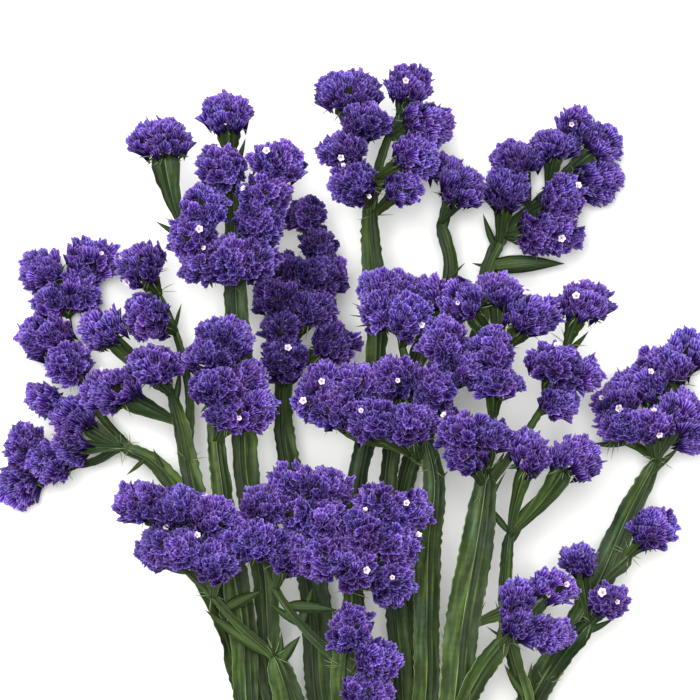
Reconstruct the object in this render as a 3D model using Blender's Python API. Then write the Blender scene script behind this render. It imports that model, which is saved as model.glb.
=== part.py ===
# Dried statice, Limonium sinuatum: a tied bunch of winged stems with violet heads, lying on its side.
# The stems run along Y from their cut ends (-Y) to the flowers (+Y), and the bunch lies on Z = 0.
import math
import random

import bmesh
import bpy
from mathutils import Matrix, Vector
from mathutils.bvhtree import BVHTree

MM = 0.001
UP = Vector((0, 0, 1))

# Places are pixels of the photograph, x to the right and y down, with a height over the floor in mm.
PIXEL = 0.45 * MM
MIDDLE_PIXEL = (350, 690)
TIE_PIXEL = (380, 1045)
CUT_PIXEL_Y = 1312
CUT_STAGGER = 14

SEAT_GAP = 0.3 * MM
TIE_LENGTH = 16 * MM
TIE_THICKNESS = 1.8 * MM
KNOT_RADIUS = 3.1 * MM
TAIL_SECTION = (2.2 * MM, 1.6 * MM)
TAILS = ((-0.5, 26 * MM), (0.75, 21 * MM))

BOUND_WIDTH = 8.6 * MM
BOUND_DEPTH = 7.0 * MM
COLUMN_PITCH = 9.1 * MM
ROW_PITCH = 4.5 * MM
SPREAD_AT_CUT = 1.45

WING_EDGE = 0.8 * MM
STEM_DEPTH = 5.0 * MM
FORK_WIDTH = 3.6 * MM
FORK_TAPER = 0.5 * MM
FORK_DEPTH = 2.4 * MM
BEND_SHARE = 0.42
STATION_SPACING = 27 * MM
BARE_SPACING = 60 * MM
WAVE_WIDTH = 0.10
WAVE_LIFT = 0.7 * MM

STALK_ROOT_WIDTH = 2.2 * MM
STALK_TOP_WIDTH = 6.0 * MM
STALK_DEPTH = 1.5 * MM
STALK_SINK = 1.5 * MM
STALK_REACH = 13 * MM
SHORT_STALK = 30 * MM
ROOT_CHOICES = 14
LEAF_LENGTH = 19 * MM
LEAF_WIDTH = 3.2 * MM
LEAF_THICKNESS = 0.9 * MM
LEAF_BELOW_NODE = 6 * MM
LEAF_ANGLES = (26, 40)

# Head sizes in mm across and along the picture.
HEAD_SIZES = {
    "broad": (32, 21),
    "wide": (27, 20),
    "round": (22, 21),
    "flat": (24, 16),
    "tall": (18.5, 23),
    "small": (17, 16.5),
}
SMALL_SIZES = ("small",)
HEAD_DEPTH = 0.85
SEAT_LEVEL = 0.72
SEAT_EDGE = 0.62
CUP_DEPTH = 0.32
GROOVE_DEPTH = 0.25
RUFFLE = 0.09

HEAD_FACES_KEPT = 0.59
STEM_FACES_KEPT = 0.78

# Each stem: its place in the tied bundle (row up, column right), its line up to the last node as
# (x, y, height mm, wing width mm), its forks as (x, y, height mm and, where broad, width mm) and its
# heads as (x, y, height mm, size), from its lowest fork to its highest.
STEMS = {
    "left_low": {
        "slot": (0, -1.5),
        "line": [(246, 689, 18, 12), (205, 578, 22, 11), (176, 490, 25, 9), (146, 457, 24, 6.5),
                 (119, 447, 22, 5)],
        "forks": [
            [(119, 447, 22), (92, 462, 14), (48, 468, 9)],
            [(128, 449, 23), (100, 418, 14), (74, 372, 8), (66, 320, 4.5), (62, 292, 3.6)],
        ],
        "heads": [
            (71, 420, 26, "round"), (67, 448, 28, "small"), (48, 463, 24, "round"), (40, 400, 22, "small"),
            (22, 446, 18, "tall"), (16, 487, 8.9, "round"), (65, 364, 22, "round"), (42, 336, 18, "wide"),
            (47, 302, 15, "small"), (79, 288, 16, "tall"), (38, 271, 8.9, "round"), (89, 258, 14, "wide"),
        ],
    },
    "left_high": {
        "slot": (1, -1),
        "line": [(262, 700, 28, 10), (222, 590, 33, 10), (196, 500, 36, 9), (181, 430, 35, 7),
                 (170, 392, 33, 5)],
        "forks": [
            [(188, 462, 36), (188, 390, 28), (174, 330, 25), (158, 292, 25)],
        ],
        "heads": [
            (152, 366, 46, "wide"), (109, 391, 47, "wide"), (147, 317, 43, "round"), (102, 329, 43, "round"),
            (141, 264, 33, "round"),
        ],
    },
    "upper_left": {
        "slot": (2, -0.5),
        "line": [(274, 700, 38, 10), (267, 590, 41, 11), (246, 475, 43, 11), (243, 400, 42, 11),
                 (236, 303, 41, 10), (234, 220, 41, 8), (231, 160, 44, 6)],
        "forks": [
            [(235, 285, 41), (208, 262, 40), (181, 228, 42)],
            [(234, 250, 41), (252, 215, 42), (268, 195, 42)],
        ],
        "heads": [
            (161, 141, 50, "broad"), (227, 114, 54, "wide"), (221, 168, 61, "round"), (205, 207, 63, "round"),
            (192, 237, 63, "round"), (203, 265, 62, "flat"), (229, 259, 62, "tall"), (278, 163, 56, "wide"),
            (267, 193, 60, "flat"), (262, 223, 60, "round"), (258, 258, 60, "tall"),
        ],
    },
    "upper_back": {
        "slot": (0, -0.5),
        "line": [(322, 705, 21, 13), (314, 600, 22, 13), (296, 500, 23, 10), (282, 430, 22, 9),
                 (284, 370, 20, 7), (296, 310, 17, 5)],
        "forks": [
            [(296, 310, 17), (310, 270, 16), (314, 240, 17)],
        ],
        "heads": [
            (305, 214, 34, "small"), (318, 243, 34, "small"), (320, 275, 35, "wide"), (283, 268, 35, "small"),
            (276, 297, 38, "round"), (314, 309, 37, "round"), (335, 344, 39, "round"),
            (282, 328, 40, "small"), (284, 359, 41, "round"),
        ],
    },
    "lower_left": {
        "slot": (2, -1.5),
        "line": [(250, 720, 47, 10), (240, 600, 54, 12), (222, 495, 58, 9), (216, 440, 58, 7.5),
                 (217, 385, 56, 5)],
        "forks": [],
        "heads": [
            (222, 334, 69, "flat"), (210, 356, 71, "flat"), (219, 386, 73, "wide"), (232, 414, 73, "flat"),
            (252, 377, 68, "small"), (237, 340, 68, "small"), (258, 408, 71, "tall"),
        ],
    },
    "top_centre": {
        "slot": (1, 0),
        "line": [(366, 700, 26, 9), (352, 580, 31, 9), (355, 484, 35, 9), (366, 430, 37, 9),
                 (375, 347, 40, 9), (372, 222, 41, 8), (373, 186, 41, 5)],
        "forks": [
            [(372, 215, 41), (360, 165, 38), (350, 118, 36)],
            [(373, 186, 41), (387, 142, 39), (400, 112, 37)],
        ],
        "heads": [
            (345, 91, 41, "broad"), (410, 84, 40, "round"), (367, 122, 51, "flat"), (343, 150, 54, "flat"),
            (352, 183, 56, "round"), (428, 124, 45, "wide"), (417, 156, 52, "round"), (403, 188, 57, "small"),
        ],
    },
    "top_back": {
        "slot": (1, 1),
        "line": [(404, 700, 23, 9), (393, 580, 26, 9), (390, 484, 28, 8), (396, 430, 28, 8),
                 (425, 340, 28, 8), (450, 268, 27, 7), (440, 220, 25, 5)],
        "forks": [],
        "heads": [(445, 168, 29, "small"), (462, 186, 33, "round")],
    },
    "top_right": {
        "slot": (0, 0.5),
        "line": [(414, 700, 13, 8), (406, 580, 14, 8), (405, 488, 14, 8), (438, 405, 14, 7),
                 (482, 325, 13, 6), (489, 266, 12, 6), (506, 232, 10, 5.5), (533, 207, 9, 5),
                 (552, 186, 8, 4)],
        "forks": [],
        "heads": [
            (506, 189, 23, "round"), (518, 157, 20, "flat"), (556, 143, 20, "flat"), (576, 121, 17, "small"),
            (605, 141, 13, "tall"), (600, 180, 9.7, "wide"), (563, 198, 24, "round"), (550, 234, 29, "broad"),
        ],
    },
    "centre_left": {
        "slot": (2, 0.5),
        "line": [(425, 710, 44, 11), (426, 620, 50, 11), (428, 540, 56, 11), (433, 475, 60, 9),
                 (424, 432, 60, 6)],
        "forks": [
            [(433, 468, 60), (400, 448, 62), (352, 436, 64), (322, 412, 66)],
            [(424, 432, 60), (408, 370, 58), (396, 318, 56)],
            [(427, 440, 60), (446, 388, 60), (454, 335, 58)],
        ],
        "heads": [
            (311, 401, 79, "small"), (336, 409, 84, "wide"), (370, 418, 85, "wide"), (408, 423, 84, "wide"),
            (323, 383, 80, "round"), (355, 384, 82, "round"), (393, 379, 80, "round"),
            (433, 386, 79, "round"), (378, 311, 72, "tall"), (408, 317, 74, "round"),
            (443, 340, 78, "round"), (464, 367, 76, "small"), (377, 286, 67, "small"),
            (401, 290, 66, "small"), (426, 292, 66, "small"),
        ],
    },
    "centre_right": {
        "slot": (3, 1),
        "line": [(453, 705, 50, 13), (458, 660, 52, 14.5), (468, 590, 55, 15), (480, 520, 58, 13),
                 (486, 470, 60, 8)],
        "forks": [
            [(484, 470, 60), (492, 420, 57), (500, 350, 54)],
            [(483, 490, 59), (512, 452, 60), (540, 410, 56), (566, 345, 52)],
            [(456, 716, 50, 6), (481, 669, 54, 9), (506, 636, 57, 7)],
        ],
        "heads": [
            (462, 301, 70, "round"), (496, 291, 62, "flat"), (532, 315, 65, "wide"), (585, 303, 58, "wide"),
            (492, 351, 75, "tall"), (554, 364, 70, "wide"), (586, 374, 64, "small"), (560, 401, 66, "small"),
            (495, 382, 74, "flat"), (460, 431, 82, "wide"), (491, 436, 80, "small"), (465, 456, 80, "small"),
            (553, 586, 64, "flat"), (518, 594, 64, "small"), (518, 622, 66, "small"), (548, 632, 66, "flat"),
        ],
    },
    "right": {
        "slot": (0, 1.5),
        "line": [(537, 694, 22, 12), (587, 607, 26, 12), (636, 505, 28, 10), (658, 459, 27, 5)],
        "forks": [
            [(598, 586, 27, 5), (630, 556, 30, 9)],
            [(546, 684, 23, 5), (574, 646, 30, 9), (592, 624, 37, 8)],
            [(658, 459, 27), (638, 447, 22), (616, 438, 20)],
            [(658, 459, 27), (672, 425, 17), (682, 385, 11)],
        ],
        "heads": [
            (694, 350, 9, "round"), (666, 366, 19, "wide"), (640, 387, 26, "wide"), (617, 402, 33, "round"),
            (621, 425, 38, "flat"), (650, 425, 40, "flat"), (681, 411, 30, "round"), (694, 437, 23, "small"),
            (654, 529, 40, "round"), (610, 600, 50, "small"), (578, 558, 52, "small"),
        ],
    },
    "low_right": {
        "slot": (2, 1.5),
        "line": [(528, 700, 42, 8), (516, 662, 43, 7), (506, 622, 45, 6), (506, 573, 48, 5.5),
                 (509, 532, 54, 5)],
        "forks": [],
        "heads": [(529, 452, 74, "tall"), (574, 456, 71, "wide")],
    },
    "front_left": {
        "slot": (3, -1),
        "line": [(296, 740, 56, 11), (288, 695, 61, 13), (274, 655, 64, 9)],
        "forks": [
            [(274, 655, 64), (244, 628, 66), (206, 588, 66), (178, 562, 64)],
            [(212, 594, 66), (192, 556, 66), (168, 528, 66)],
        ],
        "heads": [
            (143, 501, 77, "wide"), (180, 506, 80, "wide"), (218, 516, 83, "round"), (160, 547, 80, "round"),
            (188, 547, 84, "round"), (218, 556, 87, "round"),
        ],
    },
    "front_centre": {
        "slot": (3, 0),
        "line": [(354, 740, 54, 10), (346, 690, 58, 12), (345, 650, 60, 11), (350, 600, 62, 9),
                 (347, 570, 63, 6)],
        "forks": [
            [(343, 664, 60), (302, 624, 64), (275, 585, 66), (262, 548, 68)],
            [(347, 575, 63), (322, 548, 66), (306, 505, 68)],
            [(348, 590, 63), (376, 556, 66), (386, 520, 68)],
        ],
        "heads": [
            (255, 539, 88, "wide"), (264, 505, 84, "round"), (288, 550, 86, "tall"), (298, 512, 84, "small"),
            (293, 478, 80, "flat"), (326, 486, 82, "wide"), (329, 519, 87, "round"),
            (323, 557, 90, "wide"), (358, 529, 87, "round"), (355, 563, 89, "round"), (372, 500, 83, "small"),
            (405, 511, 79, "wide"), (396, 543, 83, "round"), (393, 579, 81, "round"), (351, 627, 78, "tall"),
            (377, 657, 76, "round"), (367, 692, 74, "round"),
        ],
    },
}
ROWS = 4

LOOKS = {
    "stem": ((0.098, 0.169, 0.053), 0.62),
    "head": ((0.078, 0.022, 0.292), 0.78),
    "tie": ((0.439, 0.301, 0.148), 0.85),
}


def clear_scene():
    for obj in list(bpy.data.objects):
        bpy.data.objects.remove(obj, do_unlink=True)


def look(name):
    colour, roughness = LOOKS[name]
    material = bpy.data.materials.new(name)
    material.use_nodes = True
    shader = material.node_tree.nodes["Principled BSDF"]
    shader.inputs["Base Color"].default_value = (*colour, 1)
    shader.inputs["Roughness"].default_value = roughness
    shader.inputs["Metallic"].default_value = 0
    return material


def place(x, y, height):
    return Vector(((x - MIDDLE_PIXEL[0]) * PIXEL, (MIDDLE_PIXEL[1] - y) * PIXEL, height * MM))


def smooth_line(points, spacing):
    # A smooth line through 4D points: the place and, last, a width that follows it.
    lengths = [max((b.xyz - a.xyz).length, MM) for a, b in zip(points, points[1:])]
    slopes = [(b - a) / length for a, b, length in zip(points, points[1:], lengths)]
    tangents = [slopes[0]]
    for index in range(1, len(slopes)):
        before, after = lengths[index - 1], lengths[index]
        tangents.append((slopes[index - 1] * after + slopes[index] * before) / (before + after))
    tangents.append(slopes[-1])
    samples = []
    for index, length in enumerate(lengths):
        steps = max(1, round(length / spacing))
        for step in range(steps):
            t = step / steps
            samples.append(
                points[index] * (2 * t**3 - 3 * t**2 + 1)
                + tangents[index] * length * (t**3 - 2 * t**2 + t)
                + points[index + 1] * (3 * t**2 - 2 * t**3)
                + tangents[index + 1] * length * (t**3 - t**2)
            )
    samples.append(points[-1].copy())
    return samples


def directions(centres):
    last = len(centres) - 1
    return [(centres[min(i + 1, last)] - centres[max(i - 1, 0)]).normalized() for i in range(last + 1)]


def add_loft(bm, rings):
    # Joins rings of points into one closed skin, split alike on its front and its back.
    count = len(rings[0])
    layers = [[bm.verts.new(point) for point in ring] for ring in rings]
    for lower, upper in zip(layers, layers[1:]):
        for i in range(count):
            j = (i + 1) % count
            if i < count // 2:
                bm.faces.new((lower[i], lower[j], upper[j]))
                bm.faces.new((lower[i], upper[j], upper[i]))
            else:
                bm.faces.new((lower[i], lower[j], upper[i]))
                bm.faces.new((lower[j], upper[j], upper[i]))
    bm.faces.new(layers[0])
    bm.faces.new(layers[-1])


def finish_mesh(bm, name):
    bmesh.ops.recalc_face_normals(bm, faces=bm.faces)
    if bm.calc_volume(signed=True) < 0:
        bmesh.ops.reverse_faces(bm, faces=bm.faces)
    mesh = bpy.data.meshes.new(name)
    bm.to_mesh(mesh)
    bm.free()
    return mesh


def tree_of(mesh):
    return BVHTree.FromPolygons([v.co for v in mesh.vertices], [p.vertices[:] for p in mesh.polygons])


def winged_ring(centre, along, left, right, lifts, depth):
    side = along.cross(UP).normalized()
    front = side.cross(along)
    edge = front * WING_EDGE / 2
    core = front * depth / 2
    right_tip = centre + side * right + front * lifts[0]
    left_tip = centre - side * left + front * lifts[1]
    return [
        right_tip + edge, centre + core, left_tip + edge,
        left_tip - edge, centre - core, right_tip - edge,
    ]


def keeled_ring(centre, along, width, depth):
    # The three-cornered section of a branch, a stalk or a leaf: two edges and a keel in front.
    side = along.cross(UP)
    if side.length < 0.2:
        side = Vector((1, 0, 0))
    side = side.normalized() * width / 2
    front = side.cross(along).normalized() * depth
    return [centre + side - front / 3, centre + front * 2 / 3, centre - side - front / 3]


def stem_line(spec):
    # From the cut end through the tie, where the stems lie packed in rows, and on to the flowers.
    row, column = spec["slot"]
    tie = place(*TIE_PIXEL, 0)
    x = tie.x + column * COLUMN_PITCH
    z = TIE_THICKNESS + SEAT_GAP + BOUND_DEPTH / 2 + row * ROW_PITCH
    cut_y = place(0, CUT_PIXEL_Y + CUT_STAGGER * math.sin(7 * column + 3 * row), 0).y
    cut_x = tie.x + (x - tie.x) * SPREAD_AT_CUT
    bound = [Vector((x, tie.y + offset * TIE_LENGTH, z, BOUND_WIDTH)) for offset in (-0.75, 0.75)]
    bare = [Vector((cut_x, cut_y, z, BOUND_WIDTH * 1.08)), bound[0]]
    upper = [Vector((*place(px, py, height), width * MM)) for px, py, height, width in spec["line"]]
    return bare, bound, upper


def stem_samples(spec):
    bare, bound, upper = stem_line(spec)
    bottom = smooth_line(bare, BARE_SPACING)
    first = upper[0].lerp(bound[1], 0.5)
    first.x = bound[1].x + (upper[0].x - bound[1].x) * BEND_SHARE
    first.z = bound[1].z + (upper[0].z - bound[1].z) * BEND_SHARE
    straight = bound[1] + Vector((0, TIE_LENGTH * 0.5, 0, 0))
    top = smooth_line([bound[1], straight, first, *upper], STATION_SPACING)
    return bottom + top, len(bottom)


def build_stem(spec, draw):
    samples, bound_from = stem_samples(spec)
    centres = [sample.xyz for sample in samples]
    tie_y = place(*TIE_PIXEL, 0).y
    rings = []
    for index, (sample, along) in enumerate(zip(samples, directions(centres))):
        packed = abs(sample.y - tie_y) < TIE_LENGTH * 1.3
        if packed:
            along = Vector((0, 1, 0))
        wave = 0 if packed else (1 if index % 2 else -1)
        left = sample.w / 2 * (1 + wave * WAVE_WIDTH * draw.uniform(0.6, 1.4))
        right = sample.w / 2 * (1 - wave * WAVE_WIDTH * draw.uniform(0.6, 1.4))
        lifts = (wave * WAVE_LIFT, -wave * WAVE_LIFT)
        depth = BOUND_DEPTH if packed or index < bound_from else min(STEM_DEPTH, sample.w * 0.55)
        rings.append(winged_ring(sample.xyz, along, left, right, lifts, depth))
    bm = bmesh.new()
    add_loft(bm, rings)
    return finish_mesh(bm, "stem"), centres


def build_fork(points):
    line = []
    for index, point in enumerate(points):
        width = point[3] * MM if len(point) > 3 else FORK_WIDTH - FORK_TAPER * index
        line.append(Vector((*place(*point[:3]), width)))
    samples = smooth_line(line, STATION_SPACING)
    centres = [sample.xyz for sample in samples]
    bm = bmesh.new()
    add_loft(bm, [
        keeled_ring(sample.xyz, along, sample.w, min(FORK_DEPTH, sample.w * 0.7))
        for sample, along in zip(samples, directions(centres))
    ])
    return finish_mesh(bm, "fork"), centres


def dense_points(centres):
    points = []
    for a, b in zip(centres, centres[1:]):
        along = (b - a).normalized()
        points += [(a.lerp(b, step / 4), along) for step in range(4)]
    points.append((centres[-1], (centres[-1] - centres[-2]).normalized()))
    return points


def stalk_roots(centre, skeleton):
    # Branch points for a head's stalk, best first: near, and leaving the branch at a sharp angle.
    ranked = []
    for index, (point, along) in enumerate(skeleton):
        reach = centre - point
        if reach.length > STALK_REACH:
            cost = reach.length * (1.9 - along.dot(reach.normalized()))
            ranked.append((cost, index, point, along))
    return [(point, along) for cost, index, point, along in sorted(ranked)[:ROOT_CHOICES]]


def floret_ball(size_name):
    # A unit ball of florets: each cup is a corner of the coarse solid, sunk between its raised rims.
    bm = bmesh.new()
    if size_name in SMALL_SIZES:
        belt = [bm.verts.new(corner) for corner in ((1, 0, 0), (0, 1, 0), (-1, 0, 0), (0, -1, 0))]
        top, bottom = bm.verts.new((0, 0, 1)), bm.verts.new((0, 0, -1))
        for corner, after in zip(belt, belt[1:] + belt[:1]):
            bm.faces.new((corner, after, top))
            bm.faces.new((after, corner, bottom))
        bmesh.ops.subdivide_edges(bm, edges=bm.edges, cuts=1, use_grid_fill=True)
        for vert in bm.verts:
            vert.co.normalize()
        cup_edges = 4
    else:
        bmesh.ops.create_icosphere(bm, subdivisions=2, radius=1)
        cup_edges = 5
    cups = {vert for vert in bm.verts if len(vert.link_edges) == cup_edges}
    rims = [vert for vert in bm.verts if vert not in cups]
    between = [face for face in bm.faces if not cups.intersection(face.verts)]
    open_side = [face for face in between if face.calc_center_median().z > -SEAT_EDGE]
    grooves = bmesh.ops.poke(bm, faces=open_side)["verts"]
    return bm, cups, rims, grooves


def build_head(centre, size_name, root, draw):
    across, along = HEAD_SIZES[size_name]
    semi = Vector((across / 2, along / 2, HEAD_DEPTH * (across + along) / 4)) * MM
    scale = Matrix.Diagonal(semi)
    axis = Vector([part / s for part, s in zip(centre - root, semi)]).normalized()
    bm, cups, rims, grooves = floret_ball(size_name)
    for vert in cups:
        vert.co *= 1 - CUP_DEPTH
    for vert in rims:
        vert.co *= 1 + draw.uniform(-RUFFLE, RUFFLE)
    for vert in grooves:
        vert.co = vert.co.normalized() * (1 - GROOVE_DEPTH)
    spin = Matrix.Rotation(draw.uniform(0, math.tau), 3, "Z")
    turn = axis.to_track_quat("Z", "Y").to_matrix() @ spin
    for vert in bm.verts:
        if vert.co.z < -SEAT_EDGE:
            vert.co.z = -SEAT_LEVEL
        vert.co = centre + scale @ (turn @ vert.co)
        vert.co.z = max(vert.co.z, 0)
    seat = centre - scale @ (axis * SEAT_LEVEL)
    normal = Vector([part / s for part, s in zip(axis, semi)]).normalized()
    return finish_mesh(bm, "head"), seat, normal


def build_stalk(root, along, seat, normal):
    # A flat wedge that widens from the branch to the underside of its head.
    end = seat - normal * SEAT_GAP
    start = root - along * STALK_SINK
    reach = (end - start).length
    bend = end - normal * reach * 0.4
    middle = start.lerp(bend, 0.55).lerp(bend.lerp(end, 0.55), 0.55)
    aims = [(middle - start).normalized(), (end - start).normalized(), normal]
    widths = (STALK_ROOT_WIDTH, (STALK_ROOT_WIDTH + STALK_TOP_WIDTH) / 2, STALK_TOP_WIDTH)
    rings = [keeled_ring(p, aim, w, STALK_DEPTH) for p, aim, w in zip((start, middle, end), aims, widths)]
    if reach < SHORT_STALK:
        del rings[1]
    bm = bmesh.new()
    add_loft(bm, rings)
    return finish_mesh(bm, "stalk")


def build_leaf(root, along, turn, draw):
    # A narrow pointed leaf beside a node.
    length = LEAF_LENGTH * draw.uniform(0.8, 1.15)
    aim = Matrix.Rotation(turn, 3, "Z") @ along
    tip_aim = Matrix.Rotation(-turn * 0.5, 3, "Z") @ aim
    start = root - aim * LEAF_THICKNESS
    middle = start + aim * length * 0.5
    end = middle + tip_aim * length * 0.5
    bm = bmesh.new()
    add_loft(bm, [
        keeled_ring(start, aim, LEAF_WIDTH * 0.6, LEAF_THICKNESS),
        keeled_ring(middle, tip_aim, LEAF_WIDTH, LEAF_THICKNESS),
        keeled_ring(end, tip_aim, LEAF_THICKNESS, LEAF_THICKNESS),
    ])
    return finish_mesh(bm, "leaf")


def keep_main_body(mesh):
    # Drops the skins of hollows shut in between heads, so that one closed skin is left.
    bm = bmesh.new()
    bm.from_mesh(mesh)
    unseen = set(bm.verts)
    bodies = []
    while unseen:
        body = [unseen.pop()]
        for vert in body:
            for edge in vert.link_edges:
                other = edge.other_vert(vert)
                if other in unseen:
                    unseen.remove(other)
                    body.append(other)
        bodies.append(body)
    main = max(bodies, key=len)
    hidden = [vert for body in bodies if body is not main for vert in body]
    bmesh.ops.delete(bm, geom=hidden, context="VERTS")
    bm.to_mesh(mesh)
    bm.free()


def touches(tree, others):
    return any(tree.overlap(other) for other in others)


def thin_out(obj, share):
    # Takes out the smallest faces, which the union leaves where pieces cross each other.
    thin = obj.modifiers.new("Thin", "DECIMATE")
    thin.ratio = share
    thin.use_collapse_triangulate = True


def fuse(name, meshes, material):
    # One object from meshes that cross each other, joined by a single union on a collection.
    obj = bpy.data.objects.new(name, meshes[0])
    bpy.context.scene.collection.objects.link(obj)
    if len(meshes) > 1:
        others = bpy.data.collections.new(name + "_parts")
        for mesh in meshes[1:]:
            others.objects.link(bpy.data.objects.new(name + "_part", mesh))
        join = obj.modifiers.new("Join", "BOOLEAN")
        join.operation = "UNION"
        join.operand_type = "COLLECTION"
        join.collection = others
        graph = bpy.context.evaluated_depsgraph_get()
        joined = bpy.data.meshes.new_from_object(obj.evaluated_get(graph))
        obj.modifiers.clear()
        keep_main_body(joined)
        obj.data = joined
        for part in list(others.objects):
            bpy.data.objects.remove(part, do_unlink=True)
        bpy.data.collections.remove(others)
    obj.data.materials.clear()
    obj.data.materials.append(material)
    return obj


def build_tie(material):
    # A flat band round the packed stems, with a knot and two short tails on top.
    tie = place(*TIE_PIXEL, 0)
    half = 1.5 * COLUMN_PITCH + BOUND_WIDTH / 2 + SEAT_GAP
    top = TIE_THICKNESS + 2 * SEAT_GAP + BOUND_DEPTH + (ROWS - 1) * ROW_PITCH
    low_side = TIE_THICKNESS + BOUND_DEPTH * 0.38
    high_side = top - BOUND_DEPTH / 2 - ROW_PITCH
    right_side = [
        (1.62 * COLUMN_PITCH, TIE_THICKNESS), (half, low_side), (half, high_side), (1.15 * COLUMN_PITCH, top),
    ]
    outline = right_side + [(-x, z) for x, z in reversed(right_side)]
    middle_z = top / 2
    inner = [Vector((tie.x + x, tie.y, z)) for x, z in outline]
    wider = 1 + TIE_THICKNESS / half
    taller = 1 + 2 * TIE_THICKNESS / top
    outer = [Vector((tie.x + x * wider, tie.y, middle_z + (z - middle_z) * taller)) for x, z in outline]
    for point in (outer[0], outer[-1]):
        point.z = 0
    bm = bmesh.new()
    shift = Vector((0, TIE_LENGTH / 2, 0))
    in_low, in_high = [[bm.verts.new(point + end) for point in inner] for end in (-shift, shift)]
    out_low, out_high = [[bm.verts.new(point + end) for point in outer] for end in (-shift, shift)]
    count = len(outline)
    for i in range(count):
        j = (i + 1) % count
        for a, b in ((in_low, in_high), (in_high, out_high), (out_high, out_low), (out_low, in_low)):
            bm.faces.new((a[i], a[j], b[j], b[i]))
    band = finish_mesh(bm, "band")
    crown = max(point.z for point in outer)
    knot_centre = Vector((tie.x, tie.y, crown + KNOT_RADIUS / 2))
    bm = bmesh.new()
    bmesh.ops.create_icosphere(bm, subdivisions=1, radius=KNOT_RADIUS, matrix=Matrix.Translation(knot_centre))
    knot = finish_mesh(bm, "knot")
    tails = []
    for turn, length in TAILS:
        aim = Matrix.Rotation(turn, 3, "Z") @ Vector((0, 1, 0))
        tip = knot_centre + aim * length + UP * KNOT_RADIUS * 0.8
        bend = knot_centre + aim * length * 0.5 + UP * KNOT_RADIUS
        bm = bmesh.new()
        add_loft(bm, [keeled_ring(point, aim, *TAIL_SECTION) for point in (knot_centre, bend, tip)])
        tails.append(finish_mesh(bm, "tail"))
    return fuse("tie", [band, knot, *tails], material)


def gather_touching(trees):
    # Heads that grow into each other share a node.
    groups = []
    for index, tree in enumerate(trees):
        linked = [group for group in groups if touches(tree, [trees[other] for other in group])]
        merged = [index] + [other for group in linked for other in group]
        groups = [group for group in groups if group not in linked] + [merged]
    return sorted((sorted(group) for group in groups), key=lambda group: group[0])


def centre_on_origin(objects):
    corners = [vert.co for obj in objects for vert in obj.data.vertices]
    shift = Vector((
        -(min(c.x for c in corners) + max(c.x for c in corners)) / 2,
        -(min(c.y for c in corners) + max(c.y for c in corners)) / 2,
        0,
    ))
    for obj in objects:
        obj.location = shift


def build_bunch():
    clear_scene()
    draw = random.Random(11)
    materials = {name: look(name) for name in LOOKS}
    woody = {}
    skeletons = {}
    for name, spec in STEMS.items():
        mesh, centres = build_stem(spec, draw)
        woody[name] = [mesh]
        skeleton = dense_points(centres[len(centres) // 2:])
        for points in spec["forks"]:
            fork, fork_centres = build_fork(points)
            woody[name].append(fork)
            skeleton += dense_points(fork_centres)
        skeletons[name] = skeleton

    heads = []
    for name, spec in STEMS.items():
        for px, py, height, size_name in spec["heads"]:
            centre = place(px, py, height)
            roots = stalk_roots(centre, skeletons[name])
            mesh, seat, normal = build_head(centre, size_name, roots[0][0], draw)
            heads.append((name, mesh, seat, normal, roots))
    head_trees = [tree_of(head[1]) for head in heads]
    stem_trees = {name: [tree_of(mesh) for mesh in meshes] for name, meshes in woody.items()}

    carried = set()
    for index, (name, mesh, seat, normal, roots) in enumerate(heads):
        strangers = [tree for other, trees in stem_trees.items() if other != name for tree in trees]
        for root, along in roots:
            stalk = build_stalk(root, along, seat, normal)
            tree = tree_of(stalk)
            if not touches(tree, head_trees) and not touches(tree, strangers):
                woody[name].append(stalk)
                stem_trees[name].append(tree)
                carried.add(index)
                break

    for name, spec in STEMS.items():
        ends = [spec["line"][-1][:3]] + [points[-1][:3] for points in spec["forks"]]
        for number, end in enumerate(ends):
            node = place(*end)
            root, along = min(skeletons[name], key=lambda pair: (pair[0] - node).length)
            strangers = [tree for other, trees in stem_trees.items() if other != name for tree in trees]
            turn = math.radians(draw.uniform(*LEAF_ANGLES)) * (1 if number % 2 else -1)
            leaf = build_leaf(root - along * LEAF_BELOW_NODE, along, turn, draw)
            tree = tree_of(leaf)
            if not touches(tree, head_trees) and not touches(tree, strangers):
                woody[name].append(leaf)
                stem_trees[name].append(tree)

    objects = [build_tie(materials["tie"])]
    for name, meshes in woody.items():
        objects.append(fuse("stem_" + name, meshes, materials["stem"]))
        thin_out(objects[-1], STEM_FACES_KEPT)
    counts = {}
    for group in gather_touching(head_trees):
        stem_name = heads[group[0]][0]
        counts[stem_name] = counts.get(stem_name, 0) + 1
        node = "flowers_{}_{}".format(stem_name, counts[stem_name])
        objects.append(fuse(node, [heads[index][1] for index in group], materials["head"]))
        if len(group) > 1:
            thin_out(objects[-1], HEAD_FACES_KEPT)
        if not carried.intersection(group):
            print("no stalk reaches", node)
    centre_on_origin(objects)
    print("nodes", len(objects), "heads", len(heads), "with their own stalk", len(carried))


build_bunch()
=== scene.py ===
# A tied bunch of dried statice on its back: papery violet heads, winged green stems and jute twine.
import math
import random
import bmesh
import bpy
from mathutils import Matrix, Vector, noise
from mathutils.bvhtree import BVHTree


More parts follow.
